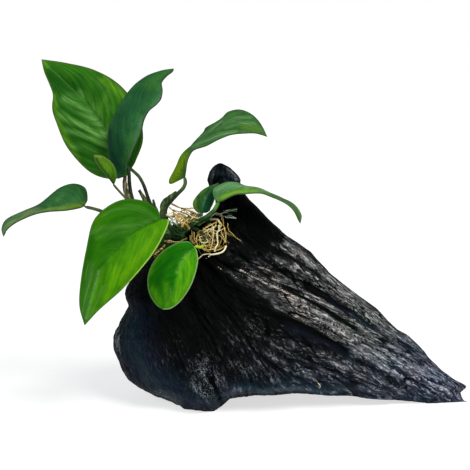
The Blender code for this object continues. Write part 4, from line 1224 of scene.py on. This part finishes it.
def bar(path, radii, sides, squash=1.0, lumps=0.0, pitch=260):
    """Points, faces and the place along of a round bar, closed at both ends."""
    points = []
    along = []
    across = (path[1] - path[0]).orthogonal().normalized()
    for index, centre in enumerate(path):
        ahead = path[min(index + 1, len(path) - 1)]
        behind = path[max(index - 1, 0)]
        tangent = (ahead - behind).normalized()
        across = (across - tangent * across.dot(tangent)).normalized()
        upward = tangent.cross(across)
        for side in range(sides):
            turn = 2 * math.pi * side / sides
            out = across * math.cos(turn) * squash + upward * math.sin(turn)
            swell = 1 + lumps * noise.noise((centre + out * radii[index]) * pitch)
            points.append(centre + out * radii[index] * swell)
            along.append(index / (len(path) - 1))
    faces = []
    for ring in range(len(path) - 1):
        low = ring * sides
        for side in range(sides):
            beside = (side + 1) % sides
            faces.append((low + side, low + beside, low + sides + beside, low + sides + side))
    last = (len(path) - 1) * sides
    faces.append(tuple(reversed(range(sides))))
    faces.append(tuple(range(last, last + sides)))
    return points, faces, along


# Stalks run from their blade's base to their foot on the rhizome
STALKS = {
    "upper_left": [(131.5, 169.5, 6.5), (138, 175.5, 5), (142.5, 182.5, 4), (145.8, 191, 3),
                   (150, 203, 3), (157, 217, 2), (164, 231, -1), (167, 238, -4)],
    "upright": [(127.5, 166.5, 0), (129, 173, -1), (129.7, 186, -1), (132.5, 199, -2),
                (139, 213, -3), (149, 228, -3), (158, 241, -3), (161, 246, -3)],
    "young": [(113.8, 185, -10.5), (119, 191, -11), (125, 197.5, -12), (135, 210, -13),
              (146, 226, -12), (154, 240, -9), (157, 249, -4)],
    "front_large": [(163, 221, -28), (167.5, 225, -23), (171.5, 231, -17), (173, 235, -11),
                    (173, 236, -4)],
    "front_oval": [(196.5, 246.5, -31.5), (201.5, 246.8, -29.5), (205, 242, -27.5),
                   (203.5, 235, -24.5), (197, 229.5, -19), (188, 227, -5)],
    "far_left": [(86.2, 207, -5), (94, 208.8, -5), (105, 212.6, -5), (122, 221, -5),
                 (139, 234, -5), (148, 246, -4), (153, 251, -3)],
    "arching_up": [(184.8, 178.5, -8), (185.3, 183, -8), (183.3, 188, -8), (178, 193.5, -8),
                   (171, 201, -8), (165.5, 209, -8), (166, 219, -7), (171, 229, -6),
                   (174, 236, -5)],
    "low_right": [(217.5, 204, -19.5), (214, 210, -19), (208, 215.6, -18), (202, 219.2, -14),
                  (194, 224, -7)],
    "small_dark": [(200.8, 215, -16), (196, 215.4, -13.2), (190, 216.4, -10), (184, 227, -5)],
}
STALK_RADIUS = 0.00105
STALK_FOOT_RADIUS = 0.0016
STALK_SLIMNESS = {"front_oval": 0.75, "young": 0.62, "upper_left": 0.9, "far_left": 0.9}
STALK_STEPS = 60
STALK_SIDES = 16


def build_stalk(name, route, finish):
    """One stalk: it grows out of its blade's base and thickens towards its foot."""
    base = grid_points(BLADES[name][:1])
    path = smooth_path([*base, *grid_points(route)], STALK_STEPS)
    radii = []
    for step in range(STALK_STEPS + 1):
        share = step / STALK_STEPS
        radius = STALK_RADIUS + (STALK_FOOT_RADIUS - STALK_RADIUS) * share ** 2
        radius *= STALK_SLIMNESS.get(name, 1.0)
        radii.append(radius * (0.35 + 0.65 * min(1.0, share / 0.05)))
    points, faces, along = bar(path, radii, STALK_SIDES, lumps=0.08, pitch=400)
    add_piece(
        f"petiole_{name}", points, faces, finish, "stalk_green", [f"stalk_{name}"], along=along,
    )


# Each stalk's colours: its deep and light skin, and what it has next to its blade
STALK_TONES = {
    "low_right": ((0.010, 0.045, 0.010), (0.050, 0.16, 0.030), (0.09, 0.30, 0.045)),
    "front_oval": ((0.003, 0.010, 0.003), (0.008, 0.030, 0.008), (0.33, 0.50, 0.03)),
    "small_dark": ((0.008, 0.030, 0.008), (0.030, 0.085, 0.020), (0.030, 0.085, 0.020)),
    "arching_up": ((0.012, 0.026, 0.008), (0.045, 0.075, 0.020), (0.060, 0.13, 0.030)),
    "upright": ((0.005, 0.010, 0.005), (0.018, 0.032, 0.012), (0.012, 0.030, 0.010)),
    "upper_left": ((0.008, 0.014, 0.006), (0.035, 0.048, 0.018), (0.035, 0.080, 0.018)),
    "young": ((0.012, 0.024, 0.008), (0.060, 0.090, 0.025), (0.050, 0.060, 0.020)),
    "far_left": ((0.012, 0.022, 0.008), (0.050, 0.075, 0.025), (0.060, 0.090, 0.025)),
    "front_large": ((0.010, 0.035, 0.008), (0.040, 0.11, 0.020), (0.060, 0.16, 0.020)),
}


def stalk_finish(name, deep, light, blade_end):
    """Green stalk with long pale and dark stripes, browner at its foot."""
    recipe = Recipe(f"{name}_stalk", Metallic=0.0, Specular_IOR_Level=0.2)
    along = recipe.value_of("along")
    place = recipe.place()
    soft = recipe.mottle(place, 90, 3.0)
    fine = recipe.mottle(place, 700, 3.0)
    colour = recipe.blend(recipe.fade(soft, 0.35, 0.7), deep, light)
    colour = recipe.blend(recipe.fade(fine, 0.48, 0.72) * 0.22, colour, (0.12, 0.15, 0.05))
    colour = recipe.blend((1 - recipe.fade(along, 0.12, 0.3)) * 0.9, colour, blade_end)
    colour = recipe.blend(recipe.fade(along, 0.6, 1.0) * 0.5, colour, (0.022, 0.030, 0.010))
    normal = recipe.bump(fine, 0.25 * MM, 0.7)
    return recipe.finish(Base_Color=colour, Roughness=0.38 + fine * 0.2, Normal=normal)


# Old sheaths beside the stalks: radius in mm, and points
SHEATHS = {
    "sheath_tall": (1.3, [(124.8, 177.5, -3.5), (125.2, 186, -4), (127.4, 196, -5),
                          (132, 206, -6)]),
    "sheath_middle": (1.15, [(139.5, 191.2, 0), (142.6, 196.5, -0.5), (147.5, 205, -1),
                             (151, 216, -2)]),
    "sheath_short": (0.9, [(153.3, 200.8, -1.5), (154.6, 206, -1.5), (158, 214, -2)]),
    "sheath_green": (1.5, [(176, 193, -11), (169.5, 198, -12), (163.2, 205, -12),
                           (162.4, 220.5, -11)]),
}
SHEATH_STEPS = 28
SHEATH_SIDES = 20
SPLINTER_LENGTH = 0.9 * MM


def build_sheath(name, radius, route, finish):
    """An old sheath: flattened, with a ragged broken tip."""
    path = smooth_path(grid_points(route), SHEATH_STEPS)
    radii = [
        radius * MM * (0.85 + 0.35 * min(1.0, step / 8)) for step in range(SHEATH_STEPS + 1)
    ]
    points, faces, along = bar(path, radii, SHEATH_SIDES, squash=0.8, lumps=0.35, pitch=520)
    for side in range(SHEATH_SIDES):
        splinter = SPLINTER_LENGTH * (side * 7 % 5) / 4
        points[side] += (path[0] - path[1]).normalized() * splinter
    add_piece(f"old_{name}", points, faces, finish, "dry_sheath", [name], along=along)


def sheath_finish(name, deep, pale, tip):
    """Long streaks of two colours, and a third at the broken tip."""
    recipe = Recipe(name, Metallic=0.0, Specular_IOR_Level=0.2)
    along = recipe.value_of("along")
    place = recipe.place()
    streak = recipe.mottle(recipe.vector("MULTIPLY", place, (900, 900, 160)), 1.0, 3.0)
    colour = recipe.blend(recipe.fade(streak, 0.40, 0.62), deep, pale)
    colour = recipe.blend(1 - recipe.fade(along, 0.0, 0.2), colour, tip)
    colour = recipe.blend(recipe.fade(along, 0.5, 1.0) * 0.6, colour, (0.025, 0.050, 0.012))
    normal = recipe.bump(streak, 0.3 * MM, 0.8)
    return recipe.finish(Base_Color=colour, Roughness=0.6 + streak * 0.2, Normal=normal)


RHIZOME = [
    (151, 253, -2), (161, 244, -3), (172, 236.5, -4), (182, 230, -5), (192, 224.5, -6.5),
    (198, 221, -8),
]
RHIZOME_RADIUS = 0.005
RHIZOME_STEPS = 120
RHIZOME_SIDES = 48
RHIZOME_RINGS = 5
RHIZOME_GAP = 0.0003


def build_rhizome(finish, wood):
    """The creeping stem: ringed by leaf scars, lumpy with buds, resting on the wood."""
    path = smooth_path(grid_points(RHIZOME), RHIZOME_STEPS)
    radii = []
    for step in range(RHIZOME_STEPS + 1):
        share = step / RHIZOME_STEPS
        end = math.sqrt(max(0.01, 1 - (2 * share - 1) ** 6))
        ring = 1 + 0.07 * math.cos(2 * math.pi * share * RHIZOME_RINGS)
        ring += 0.05 * abs(math.cos(math.pi * share * RHIZOME_RINGS * 3)) ** 6
        radii.append(RHIZOME_RADIUS * end * ring * (1 - 0.25 * share))
    points, faces, along = bar(path, radii, RHIZOME_SIDES, lumps=0.22, pitch=330)
    points = [pushed_out(point, wood, RHIZOME_GAP) for point in points]
    add_piece("creeping_stem", points, faces, finish, "rhizome_green", ["rhizome"], along=along)


def pushed_out(point, tree, gap):
    """A point moved out of a solid, or off its face, until it stands the gap away."""
    near, normal, _, distance = tree.find_nearest(point)
    inside = (point - near).dot(normal) < 0
    if inside or distance < gap:
        return near + normal * gap
    return point


def rhizome_finish():
    """Dark green skin with brown scars, painted shade between its lumps and pale green flecks of
    painted highlight on them.
    """
    recipe = Recipe("rhizome_green", Metallic=0.0, Specular_IOR_Level=0.12)
    along = recipe.value_of("along")
    place = recipe.place()
    soft = recipe.mottle(place, 170, 4.0, 0.65)
    fine = recipe.mottle(place, 900, 3.0)
    # Darker in the hollows between the lumps: painted shade
    lumps = recipe.fade(soft, 0.42, 0.66)
    colour = recipe.blend(lumps, (0.002, 0.009, 0.003), (0.012, 0.060, 0.012))
    # Pale green flecks on the lumps' crests: painted highlights
    lump_highlights = recipe.fade(soft * 0.6 + fine * 0.4, 0.56, 0.68)
    colour = recipe.blend(lump_highlights * 0.6, colour, (0.05, 0.16, 0.04))
    ring = abs((along * math.pi * RHIZOME_RINGS * 3).maths("COSINE")) ** 10
    colour = recipe.blend(ring * 0.55, colour, (0.030, 0.022, 0.008))
    normal = recipe.bump(soft * 0.7 + fine * 0.3, 0.7 * MM, 0.9)
    return recipe.finish(Base_Color=colour, Roughness=0.42 + fine * 0.25, Normal=normal)


# Roots on the wood: radius in mm, points across and down
ROOTS_ON_WOOD = {
    "root_thick": (0.8, [(211, 219), (218, 220), (219.5, 228), (217, 235), (218, 242),
                         (214.5, 251.5)]),
    "root_foot": (0.6, [(226.5, 246), (221.5, 252.5), (213.5, 254.5), (205.5, 254), (198, 259)]),
    "root_right": (0.30, [(216, 215), (222, 215), (223.5, 225), (225, 233), (226, 243)]),
    "root_inner": (0.4, [(208, 224), (213, 226), (213.5, 235), (209, 243), (210.5, 250)]),
    "root_left": (0.5, [(191.5, 236), (191.5, 240), (194.5, 245.5)]),
    "root_curl": (0.36, [(204, 228), (208, 232), (206, 238), (200.5, 240), (198.5, 235)]),
    "root_long": (0.26, [(227, 223), (229, 230.5), (232, 233), (236.5, 237.5), (241.5, 241)]),
    "root_neck": (0.34, [(225, 210.5), (230, 210.5), (236.5, 208.5)]),
    "root_neck_low": (0.32, [(226, 218), (231, 217.5), (237, 218.5)]),
}
ROOTS_IN_AIR = {
    "root_gold_top": (0.5, [(197, 215.5, -8), (190, 211.5, -6), (181, 208, -4), (171, 205, -3.5)]),
    "root_gold_upper": (0.5, [(193, 216.5, -4), (186, 214, -3), (178, 211.5, -2), (171, 209, -1)]),
    "root_gold_cross": (0.5, [(181, 220, -1), (183, 214, 1), (186, 207, 2)]),
    "root_gold_low": (0.6, [(185, 219.5, -10), (180, 216.5, -11), (173.5, 213.5, -11)]),
    "root_brown": (0.6, [(165, 245, -12), (160.5, 249.5, -15), (155, 254.5, -16)]),
    "root_beige": (0.5, [(179, 241, -13), (172, 242.5, -15), (165, 242.5, -16)]),
}
ROOT_REST = 0.25
GOLD_ROOTS = ("root_right", "root_inner", "root_left", "root_long")
# Roots that stand out from the wood, in mm
ROOT_LIFTS = {"root_thick": 2.2, "root_foot": 1.2, "root_right": 1.0}
ROOT_STEPS = 48
ROOT_SIDES = 9
SEARCH_DEPTH = 100 * MM
SHOULDER_DEPTH = -12 * MM


def wood_face(wood, across, down):
    """Where the grid shows the wood's face, or the face nearest to there, and the way out of it."""
    near = seen_at(across, down, -SEARCH_DEPTH)
    far = seen_at(across, down, SEARCH_DEPTH)
    hit, normal = wood.ray_cast(near, (far - near).normalized())[:2]
    if hit is None:
        hit, normal = wood.find_nearest(seen_at(across, down, SHOULDER_DEPTH))[:2]
    return hit, normal


def laid_on_wood(wood, points, lift):
    """The path of a root that lies on the wood."""
    laid = []
    for across, down in points:
        hit, normal = wood_face(wood, across, down)
        laid.append(hit + normal * lift)
    return laid


def off_the_wood(wood, across, down, lift):
    """Where the grid shows a point that stands off the wood's face by a lift in mm."""
    return seen_at(across, down, wood_face(wood, across, down)[0].y - lift * MM)


def root_bar(path, radius, wood):
    """One root: slightly wavy, tapering, never inside the wood."""
    path = smooth_path(path, ROOT_STEPS)
    wavy = []
    for point in path:
        sway = Vector((noise.noise(point * 300), 0, noise.noise(point * 300 + Vector((9, 9, 9)))))
        wavy.append(pushed_out(point + sway * radius * 0.7, wood, radius * 0.8))
    radii = [
        radius * (0.8 - 0.35 * step / ROOT_STEPS) * (1 + 0.25 * noise.noise(wavy[step] * 700))
        for step in range(ROOT_STEPS + 1)
    ]
    return bar(wavy, radii, ROOT_SIDES)


def build_roots(wood, cream, gold, mossy):
    """The thick roots, one piece each."""
    for name, (radius, points) in ROOTS_ON_WOOD.items():
        if name in ROOT_LIFTS:
            lift = radius + ROOT_LIFTS[name]
            path = [off_the_wood(wood, across, down, lift) for across, down in points]
        else:
            path = laid_on_wood(wood, points, (radius + ROOT_REST) * MM)
        points, faces, along = root_bar(path, radius * MM, wood)
        finish = mossy if "neck" in name else gold if name in GOLD_ROOTS else cream
        add_piece(f"strand_{name}", points, faces, finish, "root_cream", [name], along=along)
    for name, (radius, points) in ROOTS_IN_AIR.items():
        points, faces, along = root_bar(grid_points(points), radius * MM, wood)
        add_piece(f"strand_{name}", points, faces, gold, "root_cream", [name], along=along)


# Thin roots in bundles: how many strays follow the drawn ones, how far they stray on the grid, and
# the drawn ones as radius in mm, lift off the wood or depth in mm, shade from brown 0 to cream 1,
# and points
FINE_ON_WOOD = {
    "tangle": (34, 2.0, [
        (0.15, 8.0, 0.4, [(196, 232), (203, 235), (210, 232), (217, 236), (223, 233)]),
        (0.18, 7.0, 0.5, [(193, 243), (200, 240), (207, 243), (214, 240), (221, 243)]),
        (0.15, 12.5, 0.35, [(197, 234), (200, 230.5), (204.5, 230), (208, 233), (208.5, 237.5)]),
        (0.13, 12.5, 0.55, [(199, 239.5), (202.5, 236), (206, 237), (208, 241)]),
        (0.15, 9.0, 0.6, [(198, 228), (201, 236), (199, 244), (204, 250)]),
        (0.18, 6.0, 0.7, [(206, 226), (212, 232), (220, 236), (226, 243)]),
        (0.16, 8.0, 0.9, [(225, 228), (218, 231), (211, 229), (204, 233)]),
        (0.20, 5.0, 0.5, [(195, 238), (202, 242), (208, 247), (216, 249)]),
        (0.30, 9.0, 0.95, [(200.6, 237.3), (202.8, 236.2), (206, 238.3), (208.2, 240.5),
                           (204.9, 242.6), (200.6, 241.6), (199.6, 238.9)]),
        (0.26, 8.0, 0.9, [(201.7, 235.1), (206, 230.8), (212.4, 227.6), (216.7, 225.4)]),
        (0.26, 5.0, 0.95, [(208.2, 233), (210.3, 236.2), (212.4, 239.4), (214.6, 241.6)]),
        (0.38, 4.0, 0.85, [(213.5, 226.5), (213.5, 233), (213, 237.3), (212.4, 241.6),
                           (211.4, 245.9), (210.3, 250.1)]),
        (0.20, 3.0, 0.6, [(221, 231.9), (223.8, 236.2), (224.6, 241.5), (223.2, 244.8)]),
        (0.26, 9.0, 0.6, [(191.5, 227.1), (192, 233), (191.5, 237.3), (193.1, 241.6)]),
        (0.26, 9.0, 0.6, [(194.2, 231.9), (194.2, 238.3), (195.8, 242.6)]),
        (0.32, 3.0, 0.5, [(208.2, 242.6), (212.4, 243.7), (217.8, 245.9), (222.1, 245.9)]),
        (0.32, 7.0, 0.5, [(201.7, 244.8), (206, 245.9), (210.3, 244.8), (214.6, 248)]),
        (0.34, 4.0, 0.65, [(203.9, 248), (208.2, 250.2), (212.4, 249.1), (216.7, 250.2),
                           (222.1, 248), (225.3, 245.9)]),
        (0.30, 6.0, 0.5, [(202.2, 245.3), (202.8, 248.5), (206, 251.2), (210.3, 252.3)]),
        (0.30, 1.5, 0.9, [(216.7, 253.4), (212.4, 254.4), (208.2, 256.6)]),
        (0.34, 3.0, 0.8, [(210.5, 218), (213, 215), (217, 213), (222, 214.7), (222, 220)]),
        (0.22, 4.0, 0.45, [(219.4, 226.5), (222, 233), (221, 241), (218, 247), (213, 250)]),
        (0.30, 9.0, 0.6, [(216, 222), (209, 226), (203, 230), (198, 234), (196, 240), (198, 246)]),
        (0.28, 8.0, 0.55, [(217, 221), (214, 228), (209, 232), (205, 236), (204, 243), (207, 249)]),
        (0.13, 2.0, 0.35, [(221, 222), (224.5, 227), (226, 233), (225.5, 240), (223, 246)]),
        (0.20, 6.0, 0.35, [(206, 227), (203, 232), (206, 237), (211, 238), (213, 233), (210, 229)]),
    ]),
    "threads": (3, 0.9, [
        (0.13, 1.0, 0.6, [(223.2, 225.4), (225.3, 230.8), (227.5, 233), (232.9, 235.1),
                           (237.2, 238.9)]),
        (0.14, 1.5, 0.5, [(221, 223), (225, 229), (226.5, 235), (226, 241)]),
        (0.18, 0.6, 0.9, [(318, 383), (320, 386), (319, 388.5)]),
    ]),
}
FINE_IN_AIR = {
    "golden": (88, 1.4, [
        (0.30, -17, 0.6, [(175, 218), (180, 221.5), (186, 224.5), (190, 229)]),
        (0.30, -17, 0.5, [(179, 215), (184, 219.5), (190, 223)]),
        (0.28, -17, 0.7, [(181, 227), (185, 222), (190, 217.5)]),
        (0.26, -17, 0.4, [(186, 227), (188, 222), (187, 217)]),
        (0.30, -18, 0.75, [(187, 213.5), (192, 216.5), (198, 217.5)]),
        (0.26, -18, 0.6, [(190, 220), (194, 216.5), (197, 213)]),
        (0.34, -6, 0.45, [(173, 216.5), (178, 219), (181, 224), (184, 228)]),
        (0.34, -5, 0.4, [(176, 222), (180, 217), (186, 218), (190, 223), (188, 228)]),
        (0.30, -7, 0.5, [(179, 214), (176, 218), (178, 223), (183, 226), (187, 225)]),
        (0.34, -6, 0.5, [(183, 216), (187, 221), (190, 226)]),
        (0.32, -6, 0.35, [(178, 226), (184, 222), (188, 217)]),
        (0.42, -5, 0.5, [(171.5, 203.5), (180, 207.5), (191, 211), (199, 215.2)]),
        (0.42, -4, 0.75, [(181, 209), (188, 208.2), (195, 208.5)]),
        (0.42, -6, 0.65, [(169.5, 207.2), (173, 209.9), (183.4, 212.6), (193.1, 215.8), (200, 216)]),
        (0.42, -9, 0.7, [(173, 213), (177, 215.5), (184, 216), (190, 219)]),
        (0.42, -11, 0.6, [(175, 217), (179, 221), (183.4, 226), (185, 229)]),
        (0.42, -10, 0.65, [(179, 214.5), (184.5, 217.5), (190, 222)]),
        (0.26, -8, 0.35, [(178, 219), (176.5, 214.5), (181, 213.5), (184, 217)]),
        (1.10, -10, 0.92, [(166.5, 214.3), (170, 215.8), (175.5, 214.2)]),
    ]),
    "brown": (16, 1.6, [
        (0.34, -14, 0.3, [(165, 246), (160.5, 248.5), (156, 252), (153.5, 256)]),
        (0.34, -16, 0.25, [(163, 249), (158, 250), (155, 253.5), (157, 256)]),
        (0.30, -15, 0.1, [(164, 247), (159.5, 252), (156, 257)]),
    ]),
    "beige": (5, 1.2, [
        (0.22, -14, 0.75, [(164.1, 241.6), (169.5, 240.5), (174, 241.6), (179.1, 241.6),
                           (183.4, 239.4), (187.5, 237.3)]),
        (0.28, -15, 0.35, [(163, 240), (168, 241.5), (173, 243)]),
    ]),
}
# Shoots: pale ones beside the neck, green and dark ones that crowd round the rhizome
NECK_SHOOTS = (12, 1.0, [
    (0.28, 1.0, 1.0, [(219, 214), (224, 212.6), (229, 211.5), (233, 210.4), (236.1, 209.2)]),
    (0.28, 1.0, 0.95, [(220, 216), (225.3, 216.3), (230.7, 215.8), (236.1, 217.9)]),
    (0.24, 1.0, 0.7, [(223, 211), (228, 213.5), (233, 216)]),
    (0.24, 1.0, 1.2, [(231, 211), (234, 209.8), (236.5, 209)]),
])
SHOOTS = (64, 1.8, [
    (0.50, -12, 0.50, [(160, 226), (166.5, 229.5), (173, 234)]),
    (0.44, -13, 0.46, [(164.5, 223), (166.4, 229.5), (166, 236)]),
    (0.44, -12, 0.46, [(165, 218.5), (168, 222), (173, 227), (177, 231)]),
    (0.44, -12, 0.56, [(167, 221), (172, 222.5), (176, 226), (182, 230)]),
    (0.40, -12, 0.46, [(186, 231), (190, 226), (195, 221.5), (201, 218)]),
    (0.40, -13, 0.56, [(166, 221), (167.5, 229), (171, 238)]),
    (0.36, -12, 0.46, [(171, 225), (178, 231), (186, 237)]),
    (0.36, -13, 0.4, [(176, 226), (183, 227), (190, 225)]),
    (0.36, -14, 0.46, [(163, 233), (172, 233), (182, 236)]),
    (0.32, -12, 0.5, [(181, 240), (184, 233), (190, 228)]),
    (0.40, -14, 0.7, [(210, 210), (204, 212.5), (198, 218), (191, 223)]),
    (0.36, -15, 0.46, [(192, 226), (197, 222), (204, 220), (210, 215)]),
    (0.32, -16, 0.46, [(198, 226), (204, 222), (212, 217)]),
])
FINE_STEPS = 26
FINE_SIDES = 5
FINE_SWAY = 0.35 * MM
SWAY_PITCH = 260
SWAY_SHIFTS = (Vector((0.0, 0.0, 0.0)), Vector((5.3, 1.7, 9.1)), Vector((8.9, 3.3, 2.6)))
LEAST_LIFT = 0.4


def sway_at(point):
    """Which way a thin root wanders off its line at a point."""
    return Vector([noise.noise(point * SWAY_PITCH + shift) for shift in SWAY_SHIFTS])


def build_bundle(name, strays, reach, drawn, place, finish, slot="root_cream"):
    """One bundle of thin roots: the drawn ones, and strays that follow them loosely."""
    chance = random.Random(name)
    points, faces, shades = [], [], []
    for turn in range(len(drawn) + strays):
        radius, depth, shade, line = drawn[turn % len(drawn)]
        if turn >= len(drawn):
            start = chance.randint(0, len(line) - 2)
            line = line[start:start + chance.randint(2, len(line))]
            slip = (chance.gauss(0, reach), chance.gauss(0, reach))
            line = [
                (across + slip[0] + chance.gauss(0, reach * 0.6),
                 down + slip[1] + chance.gauss(0, reach * 0.6)) for across, down in line
            ]
            radius = min(radius, 0.5) * chance.uniform(0.3, 0.6)
            shade *= chance.uniform(0.25, 1.15)
            if depth > 0:
                depth *= chance.uniform(0.1, 0.9)
        path = smooth_path([place(across, down, depth) for across, down in line], FINE_STEPS)
        path = [point + sway_at(point) * FINE_SWAY for point in path]
        radii = [
            radius * MM * (1 - 0.5 * step / FINE_STEPS) * (1 + 0.25 * noise.noise(path[step] * 800))
            for step in range(FINE_STEPS + 1)
        ]
        strand, skin = bar(path, radii, FINE_SIDES)[:2]
        first = len(points)
        points += strand
        faces += [tuple(first + corner for corner in face) for face in skin]
        shades += [min(1.0, max(0.0, shade))] * len(strand)
    add_piece(f"fine_roots_{name}", points, faces, finish, slot, None, shade=shades)


def build_fine_roots(wood, finish, green):
    """The tangle on the wood, and the loose bundles and shoots round the rhizome."""

    def on_wood(across, down, lift):
        return off_the_wood(wood, across, down, max(LEAST_LIFT, lift))

    def in_air(across, down, depth):
        return seen_at(across, down, depth * MM)

    for name, bundle in FINE_ON_WOOD.items():
        build_bundle(name, *bundle, on_wood, finish)
    for name, bundle in FINE_IN_AIR.items():
        build_bundle(name, *bundle, in_air, finish)
    build_bundle("neck_shoots", *NECK_SHOOTS, on_wood, green, "stalk_green")
    build_bundle("shoots", *SHOOTS, in_air, green, "stalk_green")


# Root colours from brown through gold to cream, and shoot colours from dark to pale green
ROOT_RAMP = [
    (0.0, (0.024, 0.013, 0.004)), (0.25, (0.18, 0.095, 0.016)), (0.5, (0.50, 0.32, 0.060)),
    (0.75, (0.70, 0.58, 0.23)), (1.0, (0.88, 0.83, 0.60)),
]
MOSSY_RAMP = [
    (0.0, (0.003, 0.010, 0.003)), (0.35, (0.018, 0.080, 0.015)), (0.6, (0.08, 0.19, 0.05)),
    (0.82, (0.28, 0.34, 0.23)), (1.0, (0.60, 0.64, 0.54)),
]


def root_finish(name, pale=None, stops=ROOT_RAMP):
    """Fibrous root: pale skin with darker stretches. Each thin root has its own shade."""
    recipe = Recipe(name, Metallic=0.0, Specular_IOR_Level=0.2)
    place = recipe.place()
    soft = recipe.mottle(place, 260, 3.0)
    fine = recipe.mottle(place, 1500, 3.0)
    if pale is None:
        pale = recipe.value_of("shade")
    tone = (soft - 0.5) * 0.9 + (fine - 0.5) * 0.5 + pale
    colour = recipe.add("ShaderNodeValToRGB", {"stops": stops}, {0: tone})
    normal = recipe.bump(fine, 0.2 * MM, 0.7)
    return recipe.finish(Base_Color=colour, Roughness=0.6 + fine * 0.2, Normal=normal)


FLOOR_REACH = 4.0


def make_floor():
    """A plain white sweep."""
    recipe = Recipe(
        "pale_floor", Metallic=0.0, Roughness=0.9, Base_Color=(0.40, 0.40, 0.40, 1),
        Emission_Color=(1, 1, 1, 1), Emission_Strength=0.66,
    )
    mesh = bpy.data.meshes.new("floor")
    corners = [Vector((x, y, 0)) * FLOOR_REACH for x, y in ((-1, -1), (1, -1), (1, 1), (-1, 1))]
    mesh.from_pydata(corners, [], [(0, 1, 2, 3)])
    mesh.materials.append(recipe.material)
    floor = bpy.data.objects.new("floor", mesh)
    bpy.context.scene.collection.objects.link(floor)


def soft_sun(name, way, strength, softness, colour):
    """Broad soft light that falls along one direction."""
    lamp = bpy.data.lights.new(name, "SUN")
    lamp.energy = strength
    lamp.angle = math.radians(softness)
    lamp.color = colour
    light = bpy.data.objects.new(name, lamp)
    light.rotation_euler = Vector(way).to_track_quat("-Z", "Y").to_euler()
    bpy.context.scene.collection.objects.link(light)


def make_studio():
    """White surroundings that light the part weakly, with soft light from the right and left."""
    scene = bpy.context.scene
    scene.view_settings.view_transform = "Standard"
    world = bpy.data.worlds.new("studio")
    world.use_nodes = True
    nodes, links = world.node_tree.nodes, world.node_tree.links
    dim = nodes["Background"]
    dim.inputs["Color"].default_value = (0.9, 0.95, 1.0, 1)
    dim.inputs["Strength"].default_value = 0.3
    seen = nodes.new("ShaderNodeBackground")
    seen.inputs["Color"].default_value = (1, 1, 1, 1)
    rays = nodes.new("ShaderNodeLightPath")
    both = nodes.new("ShaderNodeMixShader")
    links.new(rays.outputs["Is Camera Ray"], both.inputs[0])
    links.new(dim.outputs[0], both.inputs[1])
    links.new(seen.outputs[0], both.inputs[2])
    links.new(both.outputs[0], nodes["World Output"].inputs["Surface"])
    scene.world = world
    soft_sun("key", (-0.5, 0.55, -0.85), strength=2.9, softness=25, colour=(1.0, 0.99, 0.96))
    soft_sun("fill", (0.8, 0.55, -0.5), strength=1.1, softness=40, colour=(0.90, 0.96, 1.0))


SENSOR_WIDTH = 36.0


def make_camera():
    """The photograph's view: level in roll, a little above, looking down by the view's tilt."""
    lens = bpy.data.cameras.new("camera")
    lens.sensor_width = SENSOR_WIDTH
    lens.lens = SENSOR_WIDTH * VIEW_DISTANCE / (2 * GRID_MIDDLE * UNIT)
    lens.clip_start = 0.01
    camera = bpy.data.objects.new("camera", lens)
    camera.location = EYE - ORIGIN
    camera.rotation_euler = (math.pi / 2 - VIEW_TILT, 0, 0)
    bpy.context.scene.collection.objects.link(camera)
    bpy.context.scene.camera = camera


make_camera()
make_floor()
make_studio()
wood = build_driftwood(wood_finish())
for leaf, rails in BLADES.items():
    build_blade(leaf, rails, LEAVES[leaf])
for leaf, route in STALKS.items():
    build_stalk(leaf, route, stalk_finish(leaf, *STALK_TONES[leaf]))
dry_sheath = sheath_finish(
    "dry_sheath", (0.030, 0.030, 0.012), (0.22, 0.20, 0.09), (0.030, 0.016, 0.008),
)
green_sheath = sheath_finish(
    "green_sheath", (0.010, 0.030, 0.008), (0.080, 0.13, 0.040), (0.020, 0.050, 0.012),
)
olive_sheath = sheath_finish(
    "olive_sheath", (0.028, 0.045, 0.010), (0.14, 0.18, 0.045), (0.022, 0.022, 0.010),
)
sheath_skins = {"sheath_tall": dry_sheath, "sheath_middle": olive_sheath}
for sheath, shape in SHEATHS.items():
    build_sheath(sheath, *shape, sheath_skins.get(sheath, green_sheath))
build_rhizome(rhizome_finish(), wood)
cream_root = root_finish("root_cream", pale=0.9)
gold_root = root_finish("root_gold", pale=0.62)
mossy_root = root_finish("root_mossy", pale=1.05, stops=MOSSY_RAMP)
build_roots(wood, cream_root, gold_root, mossy_root)
fine_root = root_finish("root_fine")
green_shoot = root_finish("shoot_green", stops=MOSSY_RAMP)
build_fine_roots(wood, fine_root, green_shoot)
